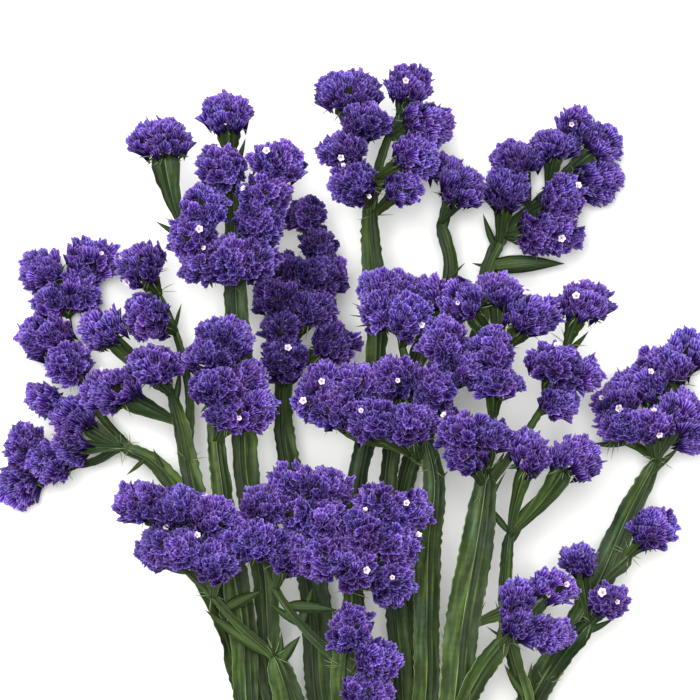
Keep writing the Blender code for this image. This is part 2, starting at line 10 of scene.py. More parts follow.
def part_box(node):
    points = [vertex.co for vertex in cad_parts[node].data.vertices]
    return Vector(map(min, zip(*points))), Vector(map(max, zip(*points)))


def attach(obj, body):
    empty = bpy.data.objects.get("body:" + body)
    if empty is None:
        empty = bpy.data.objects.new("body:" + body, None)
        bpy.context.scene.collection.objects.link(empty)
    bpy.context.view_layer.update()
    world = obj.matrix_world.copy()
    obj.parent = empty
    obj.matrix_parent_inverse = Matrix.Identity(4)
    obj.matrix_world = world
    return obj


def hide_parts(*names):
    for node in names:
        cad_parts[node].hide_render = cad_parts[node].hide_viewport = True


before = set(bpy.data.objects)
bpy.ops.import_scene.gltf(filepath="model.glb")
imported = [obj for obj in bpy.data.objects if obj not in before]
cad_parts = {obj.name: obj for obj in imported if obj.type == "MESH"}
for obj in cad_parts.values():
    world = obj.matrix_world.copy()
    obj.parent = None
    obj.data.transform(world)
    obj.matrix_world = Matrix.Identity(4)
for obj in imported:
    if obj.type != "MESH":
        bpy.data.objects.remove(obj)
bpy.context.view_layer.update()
mm = 0.001
up = Vector((0, 0, 1))
draw = random.Random(5)
clearance = 0.05 * mm      # of the lowest points over the floor

# where the bunch lies in the photograph, and how its stems pass the tie
photo = {
    "pixel": 0.45 * mm,      # real size of one pixel
    "middle": (350, 690),    # pixel that places are measured from, before the part is centred
    "view": (350, 350),      # pixel in the middle of the frame
    "size": 700,
    "tie": (380, 1045),
    "cutY": 1312,
    "cutStagger": 14,
}
bundle = {
    "tieLength": 16 * mm,
    "tieThickness": 1.8 * mm,
    "gap": 0.3 * mm,
    "stemWidth": 8.6 * mm,
    "stemDepth": 7.0 * mm,
    "columnPitch": 9.1 * mm,
    "rowPitch": 4.5 * mm,
    "rows": 4,
    "spreadAtCut": 1.45,
    "cutFuller": 1.08,
    "straight": 0.75,        # tie lengths that a stem runs straight on each side of the tie's middle
    "bendShare": 0.42,
}

# Each stem: its place in the bundle (row up, column right), its line up to the last node as
# (x, y, height mm, wing width mm), its forks as (x, y, height mm and, where broad, width mm), its heads as
# (x, y, height mm, size) and the leaves that the photograph shows as (x, y at the root, x, y at the tip,
# width mm).
stems = {
    "left_low": {
        "slot": (0, -1.5),
        "line": [(246, 689, 18, 12), (205, 578, 22, 11), (176, 490, 25, 9), (146, 457, 24, 6.5),
                 (119, 447, 22, 5)],
        "forks": [
            [(119, 447, 22), (92, 462, 14), (48, 468, 9)],
            [(128, 449, 23), (100, 418, 14), (74, 372, 8), (66, 320, 4.5), (62, 292, 3.6)],
        ],
        "heads": [
            (71, 420, 26, "round"), (67, 448, 28, "small"), (48, 463, 24, "round"), (40, 400, 22, "small"),
            (22, 446, 18, "tall"), (16, 487, 8.9, "round"), (65, 364, 22, "round"), (42, 336, 18, "wide"),
            (47, 302, 15, "small"), (79, 288, 16, "tall"), (38, 271, 8.9, "round"), (89, 258, 14, "wide"),
        ],
        "leaves": [(148, 462, 125, 476, 2.2), (170, 480, 152, 448, 2.4)],
    },
    "left_high": {
        "slot": (1, -1),
        "line": [(262, 700, 28, 10), (222, 590, 33, 10), (196, 500, 36, 9), (181, 430, 35, 7),
                 (170, 392, 33, 5)],
        "forks": [
            [(188, 462, 36), (188, 390, 28), (174, 330, 25), (158, 292, 25)],
        ],
        "heads": [
            (152, 366, 46, "wide"), (109, 391, 47, "wide"), (147, 317, 43, "round"), (102, 329, 43, "round"),
            (141, 264, 33, "round"),
        ],
        "leaves": [(186, 420, 170, 388, 2.6), (206, 321, 181, 303, 1.8)],
    },
    "upper_left": {
        "slot": (2, -0.5),
        "line": [(274, 700, 38, 10), (267, 590, 41, 11), (246, 475, 43, 11), (243, 400, 42, 11),
                 (236, 303, 41, 10), (234, 220, 41, 8), (231, 160, 44, 6)],
        "forks": [
            [(235, 285, 41), (208, 262, 40), (181, 228, 42)],
            [(234, 250, 41), (252, 215, 42), (268, 195, 42)],
        ],
        "heads": [
            (161, 141, 50, "broad"), (227, 114, 54, "wide"), (221, 168, 61, "round"), (205, 207, 63, "round"),
            (192, 237, 63, "round"), (203, 265, 62, "flat"), (229, 259, 62, "tall"), (278, 163, 56, "wide"),
            (267, 193, 60, "flat"), (262, 223, 60, "round"), (258, 258, 60, "tall"),
        ],
        "leaves": [],
    },
    "upper_back": {
        "slot": (0, -0.5),
        "line": [(322, 705, 21, 13), (314, 600, 22, 13), (296, 500, 23, 10), (282, 430, 22, 9),
                 (284, 370, 20, 7), (296, 310, 17, 5)],
        "forks": [
            [(296, 310, 17), (310, 270, 16), (314, 240, 17)],
        ],
        "heads": [
            (305, 214, 34, "small"), (318, 243, 34, "small"), (320, 275, 35, "wide"), (283, 268, 35, "small"),
            (276, 297, 38, "round"), (314, 309, 37, "round"), (335, 344, 39, "round"),
            (282, 328, 40, "small"), (284, 359, 41, "round"),
        ],
        "leaves": [(296, 250, 306, 238, 1.6)],
    },
    "lower_left": {
        "slot": (2, -1.5),
        "line": [(250, 720, 47, 10), (240, 600, 54, 12), (222, 495, 58, 9), (216, 440, 58, 7.5),
                 (217, 385, 56, 5)],
        "forks": [],
        "heads": [
            (222, 334, 69, "flat"), (210, 356, 71, "flat"), (219, 386, 73, "wide"), (232, 414, 73, "flat"),
            (252, 377, 68, "small"), (237, 340, 68, "small"), (258, 408, 71, "tall"),
        ],
        "leaves": [],
    },
    "top_centre": {
        "slot": (1, 0),
        "line": [(366, 700, 26, 9), (352, 580, 31, 9), (355, 484, 35, 9), (366, 430, 37, 9),
                 (375, 347, 40, 9), (372, 222, 41, 8), (373, 186, 41, 5)],
        "forks": [
            [(372, 215, 41), (360, 165, 38), (350, 118, 36)],
            [(373, 186, 41), (387, 142, 39), (400, 112, 37)],
        ],
        "heads": [
            (345, 91, 41, "broad"), (410, 84, 40, "round"), (367, 122, 51, "flat"), (343, 150, 54, "flat"),
            (352, 183, 56, "round"), (428, 124, 45, "wide"), (417, 156, 52, "round"), (403, 188, 57, "small"),
        ],
        "leaves": [],
    },
    "top_back": {
        "slot": (1, 1),
        "line": [(404, 700, 23, 9), (393, 580, 26, 9), (390, 484, 28, 8), (396, 430, 28, 8),
                 (425, 340, 28, 8), (450, 268, 27, 7), (440, 220, 25, 5)],
        "forks": [],
        "heads": [(445, 168, 29, "small"), (462, 186, 33, "round")],
        "leaves": [(454, 282, 466, 262, 1.8)],
    },
    "top_right": {
        "slot": (0, 0.5),
        "line": [(414, 700, 13, 8), (406, 580, 14, 8), (405, 488, 14, 8), (438, 405, 14, 7),
                 (482, 325, 13, 6), (489, 266, 12, 6), (506, 232, 10, 5.5), (533, 207, 9, 5),
                 (552, 186, 8, 4)],
        "forks": [],
        "heads": [
            (506, 189, 23, "round"), (518, 157, 20, "flat"), (556, 143, 20, "flat"), (576, 121, 17, "small"),
            (605, 141, 13, "tall"), (600, 180, 9.7, "wide"), (563, 198, 24, "round"), (550, 234, 29, "broad"),
        ],
        "leaves": [(497, 252, 484, 212, 3.2), (500, 274, 567, 263, 8.4), (492, 262, 496, 238, 1.7),
                   (488, 272, 472, 262, 1.5)],
    },
    "centre_left": {
        "slot": (2, 0.5),
        "line": [(425, 710, 44, 11), (426, 620, 50, 11), (428, 540, 56, 11), (433, 475, 60, 9),
                 (424, 432, 60, 6)],
        "forks": [
            [(433, 468, 60), (400, 448, 62), (352, 436, 64), (322, 412, 66)],
            [(424, 432, 60), (408, 370, 58), (396, 318, 56)],
            [(427, 440, 60), (446, 388, 60), (454, 335, 58)],
        ],
        "heads": [
            (311, 401, 79, "small"), (336, 409, 84, "wide"), (370, 418, 85, "wide"), (408, 423, 84, "wide"),
            (323, 383, 80, "round"), (355, 384, 82, "round"), (393, 379, 80, "round"),
            (433, 386, 79, "round"), (378, 311, 72, "tall"), (408, 317, 74, "round"),
            (443, 340, 78, "round"), (464, 367, 76, "small"), (377, 286, 67, "small"),
            (401, 290, 66, "small"), (426, 292, 66, "small"),
        ],
        "leaves": [(434, 492, 448, 470, 1.8), (396, 318, 351, 303, 1.6), (396, 318, 348, 315, 1.4),
                   (396, 320, 354, 327, 1.6)],
    },
    "centre_right": {
        "slot": (3, 1),
        "line": [(453, 705, 50, 13), (458, 660, 52, 14.5), (468, 590, 55, 15), (480, 520, 58, 13),
                 (486, 470, 60, 8)],
        "forks": [
            [(484, 470, 60), (492, 420, 57), (500, 350, 54)],
            [(483, 490, 59), (512, 452, 60), (540, 410, 56), (566, 345, 52)],
            [(456, 716, 50, 6), (481, 669, 54, 9), (506, 636, 57, 7)],
        ],
        "heads": [
            (462, 301, 70, "round"), (496, 291, 62, "flat"), (532, 315, 65, "wide"), (585, 303, 58, "wide"),
            (492, 351, 75, "tall"), (554, 364, 70, "wide"), (586, 374, 64, "small"), (560, 401, 66, "small"),
            (495, 382, 74, "flat"), (460, 431, 82, "wide"), (491, 436, 80, "small"), (465, 456, 80, "small"),
            (553, 586, 64, "flat"), (518, 594, 64, "small"), (518, 622, 66, "small"), (548, 632, 66, "flat"),
        ],
        "leaves": [(462, 664, 486, 600, 2.4), (484, 520, 506, 470, 2.2), (480, 500, 470, 462, 2.0)],
    },
    "right": {
        "slot": (0, 1.5),
        "line": [(537, 694, 22, 12), (587, 607, 26, 12), (636, 505, 28, 10), (658, 459, 27, 5)],
        "forks": [
            [(598, 586, 27, 5), (630, 556, 30, 9)],
            [(546, 684, 23, 5), (574, 646, 30, 9), (592, 624, 37, 8)],
            [(658, 459, 27), (638, 447, 22), (616, 438, 20)],
            [(658, 459, 27), (672, 425, 17), (682, 385, 11)],
        ],
        "heads": [
            (694, 350, 9, "round"), (666, 366, 19, "wide"), (640, 387, 26, "wide"), (617, 402, 33, "round"),
            (621, 425, 38, "flat"), (650, 425, 40, "flat"), (681, 411, 30, "round"), (694, 437, 23, "small"),
            (654, 529, 40, "round"), (610, 600, 50, "small"), (578, 558, 52, "small"),
        ],
        "leaves": [(556, 668, 571, 650, 2.0), (650, 480, 668, 462, 1.8), (548, 700, 573, 656, 5.4)],
    },
    "low_right": {
        "slot": (2, 1.5),
        "line": [(528, 700, 42, 8), (516, 662, 43, 7), (506, 622, 45, 6), (506, 573, 48, 5.5),
                 (509, 532, 54, 5)],
        "forks": [],
        "heads": [(529, 452, 74, "tall"), (574, 456, 71, "wide")],
        "leaves": [(504, 640, 495, 600, 1.8), (503, 642, 486, 626, 1.6), (522, 700, 504, 664, 4.2),
                   (528, 700, 532, 662, 2.6), (509, 534, 538, 493, 3.4), (507, 532, 520, 505, 2.2),
                   (507, 537, 484, 499, 3.2)],
    },
    "front_left": {
        "slot": (3, -1),
        "line": [(296, 740, 56, 11), (288, 695, 61, 13), (274, 655, 64, 9)],
        "forks": [
            [(274, 655, 64), (244, 628, 66), (206, 588, 66), (178, 562, 64)],
            [(212, 594, 66), (192, 556, 66), (168, 528, 66)],
        ],
        "heads": [
            (143, 501, 77, "wide"), (180, 506, 80, "wide"), (218, 516, 83, "round"), (160, 547, 80, "round"),
            (188, 547, 84, "round"), (218, 556, 87, "round"),
        ],
        "leaves": [(276, 664, 301, 634, 5.2), (276, 659, 205, 608, 6.0), (234, 608, 264, 589, 5.6)],
    },
    "front_centre": {
        "slot": (3, 0),
        "line": [(354, 740, 54, 10), (346, 690, 58, 12), (345, 650, 60, 11), (350, 600, 62, 9),
                 (347, 570, 63, 6)],
        "forks": [
            [(343, 664, 60), (302, 624, 64), (275, 585, 66), (262, 548, 68)],
            [(347, 575, 63), (322, 548, 66), (306, 505, 68)],
            [(348, 590, 63), (376, 556, 66), (386, 520, 68)],
        ],
        "heads": [
            (255, 539, 88, "wide"), (264, 505, 84, "round"), (288, 550, 86, "tall"), (298, 512, 84, "small"),
            (293, 478, 80, "flat"), (326, 486, 82, "wide"), (329, 519, 87, "round"),
            (323, 557, 90, "wide"), (358, 529, 87, "round"), (355, 563, 89, "round"), (372, 500, 83, "small"),
            (405, 511, 79, "wide"), (396, 543, 83, "round"), (393, 579, 81, "round"), (351, 627, 78, "tall"),
            (377, 657, 76, "round"), (367, 692, 74, "round"),
        ],
        "leaves": [(350, 640, 332, 606, 2.2), (288, 604, 338, 609, 6.0), (300, 622, 314, 584, 5.0),
                   (302, 624, 268, 600, 3.6)],
    },
}

tieLow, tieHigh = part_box("tie")
bunchShift = Vector((
    (tieLow.x + tieHigh.x) / 2 - (photo["tie"][0] - photo["middle"][0]) * photo["pixel"],
    tieLow.y + bundle["tieLength"] / 2 - (photo["middle"][1] - photo["tie"][1]) * photo["pixel"],
    0,
))


def place(x, y, height=0):
    # a pixel of the photograph and a height over the floor in mm
    flat = Vector(((x - photo["middle"][0]) * photo["pixel"], (photo["middle"][1] - y) * photo["pixel"], 0))
    return flat + bunchShift + up * height * mm


def linear(code):
    # an sRGB hex colour as the linear one that a shader takes
    parts = [int(code[i:i + 2], 16) / 255 for i in (1, 3, 5)]
    return [c / 12.92 if c <= 0.04045 else ((c + 0.055) / 1.055) ** 2.4 for c in parts] + [1]


def feed(tree, node, inputs):
    # sets each input, or links it to a socket or to the first output of a node
    for name, value in inputs.items():
        if isinstance(value, bpy.types.Node):
            value = value.outputs[0]
        if isinstance(value, bpy.types.NodeSocket):
            tree.links.new(value, node.inputs[name])
        else:
            node.inputs[name].default_value = value


def addNode(tree, kind, inputs=None, stops=(), **settings):
    # stops are those of a colour ramp, as (place, sRGB colour)
    node = tree.nodes.new("ShaderNode" + kind)
    for name, value in settings.items():
        setattr(node, name, value)
    feed(tree, node, inputs or {})
    steps = node.color_ramp.elements if stops else ()
    while len(steps) < len(stops):
        steps.new(0.5)
    for step, (position, colour) in zip(steps, stops):
        step.position = position
        step.color = linear(colour)
    return node


def newMaterial(name):
    material = bpy.data.materials.new(name)
    material.use_nodes = True
    return material, material.node_tree, material.node_tree.nodes["Principled BSDF"]


def smoothLine(points, spacing):
    # a smooth line through points whose fourth number is a width
    gaps = [max((b.xyz - a.xyz).length, mm) for a, b in zip(points, points[1:])]
    slopes = [(b - a) / gap for a, b, gap in zip(points, points[1:], gaps)]
    leans = [slopes[0]]
    for i in range(1, len(slopes)):
        leans.append((slopes[i - 1] * gaps[i] + slopes[i] * gaps[i - 1]) / (gaps[i - 1] + gaps[i]))
    leans.append(slopes[-1])
    line = []
    for i, gap in enumerate(gaps):
        steps = max(1, round(gap / spacing))
        for step in range(steps):
            t = step / steps
            line.append(points[i] * (2 * t**3 - 3 * t**2 + 1) + leans[i] * gap * (t**3 - 2 * t**2 + t)
                        + points[i + 1] * (3 * t**2 - 2 * t**3) + leans[i + 1] * gap * (t**3 - t**2))
    line.append(points[-1].copy())
    return line


def directions(points):
    last = len(points) - 1
    return [(points[min(i + 1, last)] - points[max(i - 1, 0)]).normalized() for i in range(last + 1)]


def skin(bm, rings, tones=None, long=1):
    # wraps a grid round a row of rings, closes its seam and fills its open ends; v runs from 0 to long
    across = len(rings[0])
    sheet = bmesh.ops.create_grid(bm, x_segments=across, y_segments=len(rings) - 1, size=1, calc_uvs=True)
    toneLayer = bm.verts.layers.float.get("tone")
    for index, vert in enumerate(sheet["verts"]):
        row, column = divmod(index, across + 1)
        vert.co = rings[row][column % across]
        if tones:
            vert[toneLayer] = tones[row][column % across]
    lie = bm.loops.layers.uv["lie"]
    if long != 1:
        for face in {face for vert in sheet["verts"] for face in vert.link_faces}:
            for loop in face.loops:
                loop[lie].uv.y *= long
    bmesh.ops.remove_doubles(bm, verts=sheet["verts"], dist=0.0005 * mm)
    ends = {edge for vert in sheet["verts"] if vert.is_valid for edge in vert.link_edges if edge.is_boundary}
    if ends:
        bmesh.ops.holes_fill(bm, edges=list(ends), sides=0)


def newMesh():
    bm = bmesh.new()
    bm.loops.layers.uv.new("lie")
    bm.verts.layers.float.new("tone")
    return bm


def asMesh(bm, name):
    mesh = bpy.data.meshes.new(name)
    bm.to_mesh(mesh)
    bm.free()
    return mesh


def addCopy(bm, template, matrix):
    copied = template.copy()
    copied.transform(matrix)
    bm.from_mesh(copied)
    bpy.data.meshes.remove(copied)


def aimed(point, aim, spin, scale):
    return Matrix.Translation(point) @ aim.to_track_quat("Z", "Y").to_matrix().to_4x4() @ \
        Matrix.Rotation(spin, 4, "Z") @ Matrix.Scale(scale, 4)


def newPiece(name, bm, materials, replaced, smooth=True):
    for vert in bm.verts:
        vert.co.z = max(vert.co.z, clearance)
    piece = bpy.data.objects.new(name, asMesh(bm, name))
    bpy.context.scene.collection.objects.link(piece)
    for material in materials:
        piece.data.materials.append(material)
    if smooth:
        piece.data.shade_smooth()
    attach(piece, "root")
    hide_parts(*replaced)


# a papery funnel, 5.4 mm across its mouth, in sizes from 4.3 to 6.4 mm
calyx = {
    "kinds": 20,
    "sizes": (0.8, 1.18),
    "columns": 20,
    "length": 8.6 * mm,
    "mouth": 2.7 * mm,         # half its width there
    "flareHeight": 0.64,       # where the wall turns outwards, for its length
    "flare": 0.5,              # half its width there, for that of the mouth
    "wallPleat": 0.2,
    "pleat": 0.07,             # at the rim
    "lobes": (0.09, 0.06),     # three and five to the rim
    "tooth": 0.32 * mm,
    "ruffle": 0.7 * mm,
    "squash": 0.34,
    "throat": 0.6,             # how far up its bottom lies
    "throatOff": 0.25,
    # the violet darkens low on the wall and down the throat as painted shade, and the paler band along the
    # rim is a painted highlight
    "colourShadeAndRimLight": [               # up the wall, over the rim and down the throat
        (0.0, "#25281b"), (0.12, "#18062e"), (0.34, "#2b1057"), (0.54, "#4a2786"), (0.62, "#64489c"),
        (0.68, "#7b63af"), (0.74, "#472380"), (0.86, "#280d50"), (1.0, "#14042a"),
    ],
    # pale lilac painted highlight on the ridges of the pleats
    "foldHighlight": "#a697cb",
    "foldHighlightShare": 0.68,
    "foldWander": 1.5 * mm,    # how soon a fold leaves its ridge
    "patch": 14 * mm,          # of bluer and redder violet
    "hues": (0.484, 0.509),
    "values": (0.38, 1.26),    # from the darkest tone to the palest
}


# Papery calyx: dry, thin and pleated, so it is matt; painted highlights on its folds and rim, and painted
# shade low on its wall and in its throat.
def paperyCalyx():
    material, tree, shader = newMaterial("papery_calyx")
    spread = addNode(tree, "SeparateXYZ", {"Vector": addNode(tree, "UVMap", uv_map="lie")}).outputs
    where = addNode(tree, "TexCoord").outputs["Object"]
    base = addNode(tree, "ValToRGB", {"Fac": spread["Y"]}, calyx["colourShadeAndRimLight"])
    # painted highlights on the ridges of the pleats, 1.7 mm apart at the rim and a little uneven
    wander = addNode(tree, "TexNoise", {"Vector": where, "Scale": 1 / calyx["foldWander"], "Detail": 1})
    turns = addNode(tree, "Math", {0: spread["X"], 1: math.tau * calyx["columns"] / 2, 2: -math.pi},
                    operation="MULTIPLY_ADD")
    uneven = addNode(tree, "Math", {0: wander, 1: math.pi, 2: turns}, operation="MULTIPLY_ADD")
    wave = addNode(tree, "Math", {0: uneven}, operation="SINE")
    fold = addNode(tree, "MapRange", {"Value": wave, "From Min": 0.1})
    # the painted highlights show most round the mouth
    nearRim = addNode(tree, "ValToRGB", {"Fac": spread["Y"]}, [
        (0.1, "#101010"), (0.3, "#707070"), (0.6, "#ffffff"), (0.78, "#c0c0c0"), (0.95, "#202020"),
    ])
    foldThere = addNode(tree, "Math", {0: fold, 1: nearRim}, operation="MULTIPLY")
    foldPart = addNode(tree, "Math", {0: foldThere, 1: calyx["foldHighlightShare"]}, operation="MULTIPLY")
    foldHighlighted = addNode(tree, "Mix", {"Factor": foldPart, 6: base, 7: linear(calyx["foldHighlight"])},
                     data_type="RGBA").outputs[2]
    # each calyx has a tone of its own
    tone = addNode(tree, "Attribute", attribute_name="tone").outputs["Fac"]
    patch = addNode(tree, "TexNoise", {"Vector": where, "Scale": 1 / calyx["patch"], "Detail": 2})
    hue = addNode(tree, "MapRange", {"Value": patch, "From Min": 0.3, "From Max": 0.7,
                                     "To Min": calyx["hues"][0], "To Max": calyx["hues"][1]})
    value = addNode(tree, "MapRange", {"Value": tone, "From Min": -1,
                                       "To Min": calyx["values"][0], "To Max": calyx["values"][1]})
    mixed = addNode(tree, "HueSaturation", {"Hue": hue, "Saturation": 1.04, "Value": value, "Color": foldHighlighted})
    bump = addNode(tree, "Bump", {"Height": fold, "Strength": 0.5, "Distance": 0.25 * mm})
    feed(tree, shader, {"Base Color": mixed, "Normal": bump, "Roughness": 0.7, "Specular IOR Level": 0.05})
    return material


def makeCalyx(number):
    bm = newMesh()
    phase = [draw.uniform(0, math.tau) for _ in range(4)]
    squash = 1 + draw.uniform(-1, 1) * calyx["squash"]
    off = Vector((draw.uniform(-1, 1), draw.uniform(-1, 1), 0)) * calyx["mouth"] * calyx["throatOff"]
    tone = draw.uniform(-1, 1)
    point, flare, rim, throat = [], [], [], []
    for column in range(calyx["columns"]):
        turn = math.tau * column / calyx["columns"]
        zigzag = 1 if column % 2 else -1
        side = Vector((math.cos(turn) * squash, math.sin(turn) / squash, 0))
        wave = math.sin(2 * turn + phase[0]) + 0.7 * math.sin(3 * turn + phase[1])
        reach = 1 + calyx["lobes"][0] * math.sin(3 * turn + phase[2]) \
            + calyx["lobes"][1] * math.sin(5 * turn + phase[3]) \
            + zigzag * calyx["pleat"] * draw.uniform(0.4, 1.4)
        lift = wave * calyx["ruffle"] + zigzag * calyx["tooth"] * draw.uniform(0.3, 1)
        wide = calyx["mouth"] * calyx["flare"] * (1 + zigzag * calyx["wallPleat"])
        point.append(Vector((0, 0, 0)))
        flare.append(side * wide + up * calyx["length"] * calyx["flareHeight"])
        rim.append(side * calyx["mouth"] * reach + up * (calyx["length"] + lift))
        throat.append(off + up * calyx["length"] * calyx["throat"])
    skin(bm, [point, flare, rim, throat])
    toneLayer = bm.verts.layers.float.get("tone")
    for vert in bm.verts:
        vert[toneLayer] = tone
    return asMesh(bm, "calyx_{}".format(number))


corolla = {
    "kinds": 6,
    "columns": 20,
    "radius": 2.1 * mm,
    "heights": (0, 0.9, 1.9, 2.4, 2.0, 1.4),     # in mm, up to the petals' tips and back into the throat
    "reaches": (0, 0.22, 0.7, 1, 0.5, 0),
    "cup": 0.45,           # how far the most closed ones are drawn together
    "notch": 0.24,         # between two petals
    "uneven": 0.04,
}


# White corolla: soft thin petals, white towards their tips, mauve and darker towards the throat.
def whiteCorolla():
    material, tree, shader = newMaterial("white_corolla")
    spread = addNode(tree, "SeparateXYZ", {"Vector": addNode(tree, "UVMap", uv_map="lie")}).outputs
    base = addNode(tree, "ValToRGB", {"Fac": spread["Y"]}, [
        (0.0, "#b9c09a"), (0.3, "#cdbfd8"), (0.62, "#e6dde9"), (0.76, "#d8cad8"), (0.9, "#b799aa"),
        (1.0, "#745562"),
    ])
    feed(tree, shader, {"Base Color": base, "Roughness": 0.55})
    return material


def makeCorolla(number):
    bm = newMesh()
    closed = 1 - draw.uniform(0, corolla["cup"])      # from a half closed cup to a flat star
    lean = draw.uniform(0, math.tau)
    rings = []
    for height, reach in zip(corolla["heights"], corolla["reaches"]):
        ring = []
        for column in range(corolla["columns"]):
            turn = math.tau * column / corolla["columns"]
            lobe = 1 - corolla["notch"] * reach * abs(math.cos(2.5 * turn)) ** 3
            cup = (0.25 * math.sin(5 * turn) + 0.3 * math.sin(turn + lean) + 1.6 * (1 - closed)) * reach * mm
            out = Vector((math.cos(turn), math.sin(turn), 0)) * corolla["radius"] * reach * lobe * closed
            ring.append(out + up * (height * mm + cup))
        rings.append(ring)
    skin(bm, rings)
    for vert in bm.verts:
        vert.co *= draw.uniform(1 - corolla["uneven"], 1 + corolla["uneven"])
    return asMesh(bm, "corolla_{}".format(number))


# pointed green scales under each head, and hairs between them
bract = {
    "kinds": 6,
    "perHead": 32,
    "length": 5.6 * mm,
    "width": 1.5 * mm,
    "thickness": 0.3 * mm,
    "hairLength": 1.35,         # for a bract's
    "hairWidth": 0.3,
    "hairTone": 1.8,
    "fringe": (0.1, 0.5),       # from where to where it grows, for the head's half width
    "headReach": 11 * mm,       # half width of a head whose bracts are full size
    "sizes": (0.6, 1.1),
}
# leaf tones: edges with a painted highlight, a paler keel, and one face darkened as painted shade
leafTones = [0.7, 0.0, 0.6, -0.8, 0.7, 0.0]     # edge, face, keel, darker face, edge and underside


def leafRings(start, aim, bend, length, width, thickness, steps):
    # a pointed leaf with a keel: six points to a ring, its widest place a third of the way up
    rings, tones = [], []
    for step in range(steps + 1):
        t = step / steps
        centre = start + aim * length * t + bend * length * t * t
        side = aim.cross(up)
        side = (side if side.length > 0.2 else Vector((1, 0, 0))).normalized()
        front = side.cross(aim).normalized()
        wide = width / 2 * max(0.02, math.sin(math.pi * (0.12 + 0.88 * t) ** 0.8)) if t < 1 else 0
        thick = thickness * (wide / (width / 2)) ** 0.5
        if t == 1:
            rings.append([centre] * 6)
        else:
            rings.append([
                centre - side * wide, centre - side * wide * 0.45 + front * thick * 0.25,
                centre + front * thick, centre + side * wide * 0.45 + front * thick * 0.25,
                centre + side * wide, centre - front * thick * 0.5,
            ])
        tones.append(leafTones)
    return rings, tones, length / stemForm["uvLength"]


def makeBract(number):
    # every second kind is a long thin hair
    bm = newMesh()
    hair = number % 2
    bend = Vector((draw.uniform(-0.1, 0.1), draw.uniform(-0.15, 0.15), 0))
    width = bract["width"] * (bract["hairWidth"] if hair else draw.uniform(0.8, 1.2))
    length = bract["length"] * (bract["hairLength"] if hair else 1)
    rings, tones, _ = leafRings(Vector(), up, bend * (1 + hair), length, width, bract["thickness"], 3)
    if hair:
        tones = [[bract["hairTone"]] * 6 for _ in rings]
    skin(bm, rings, tones)
    return asMesh(bm, "bract_{}".format(number))


# the stems' section, from the left wing's edge over the front to the right one and back underneath:
# across from -1 to 1, height from -1 to 1, and how pale it is: a painted highlight at the wing edges, and
# painted shade under 0 on one half
section = [
    (-1.0, 0.06, 1.5), (-0.93, 0.12, -0.1), (-0.5, 0.22, 0.0), (-0.09, 0.75, 0.0), (0.0, 1.0, 1.0),
    (0.09, 0.75, -1.0), (0.36, 0.3, -0.9), (0.44, 0.6, 0.5), (0.52, 0.3, -0.7), (0.93, 0.12, -0.8),
    (1.0, 0.06, 1.5), (0.97, -0.12, 0.3), (0.55, -0.3, 0.0), (0.2, -1.0, 0.8), (-0.2, -1.0, 0.8),
    (-0.55, -0.3, 0.0), (-0.97, -0.12, 0.3),
]
stemForm = {
    "spacing": 2.0 * mm,
    "bareSpacing": 4 * mm,
    "solidSpacing": 27 * mm,      # as the solid's own stations, to find where stalks leave
    "solidBareSpacing": 60 * mm,
    "depth": 5.0 * mm,
    "thinDepth": 0.55,            # for the width, where a stem is narrow
    "freeAfter": 2.4,             # tie lengths above the tie's middle, where the wings are free again
    "forkWidth": 3.6 * mm,
    "forkTaper": 0.5 * mm,
    "forkDepth": 2.4 * mm,
    "forkThinDepth": 0.7,
    "forkFuller": 1.15,
    "tooth": 0.5 * mm,
    "toothLength": 4.7 * mm,
    "edgeWave": 0.5 * mm,
    "edgeLift": 1.0 * mm,
    "waveLength": 9 * mm,
    "waveWidth": 8 * mm,          # narrower wings wave and twist less
    "rise": 0.34,                 # how far the wings rise for their width
    "twist": 30,                  # degrees at middling noise, up to twice that in places
    "twistLength": 50 * mm,
    "uvLength": 100 * mm,
    "cutTone": 1.3,               # the cut end is pale
    "endSteps": (0.4, 0.72, 0.92),    # how a branch rounds off at its tip
    # stems that the others shade are darker
    "tones": {"top_centre": -0.3, "top_back": -0.3, "upper_back": -0.3, "top_right": -0.15,
              "left_high": -0.2},
    "crumpleShare": 0.14,         # of the pattern; the rest is fibres
}
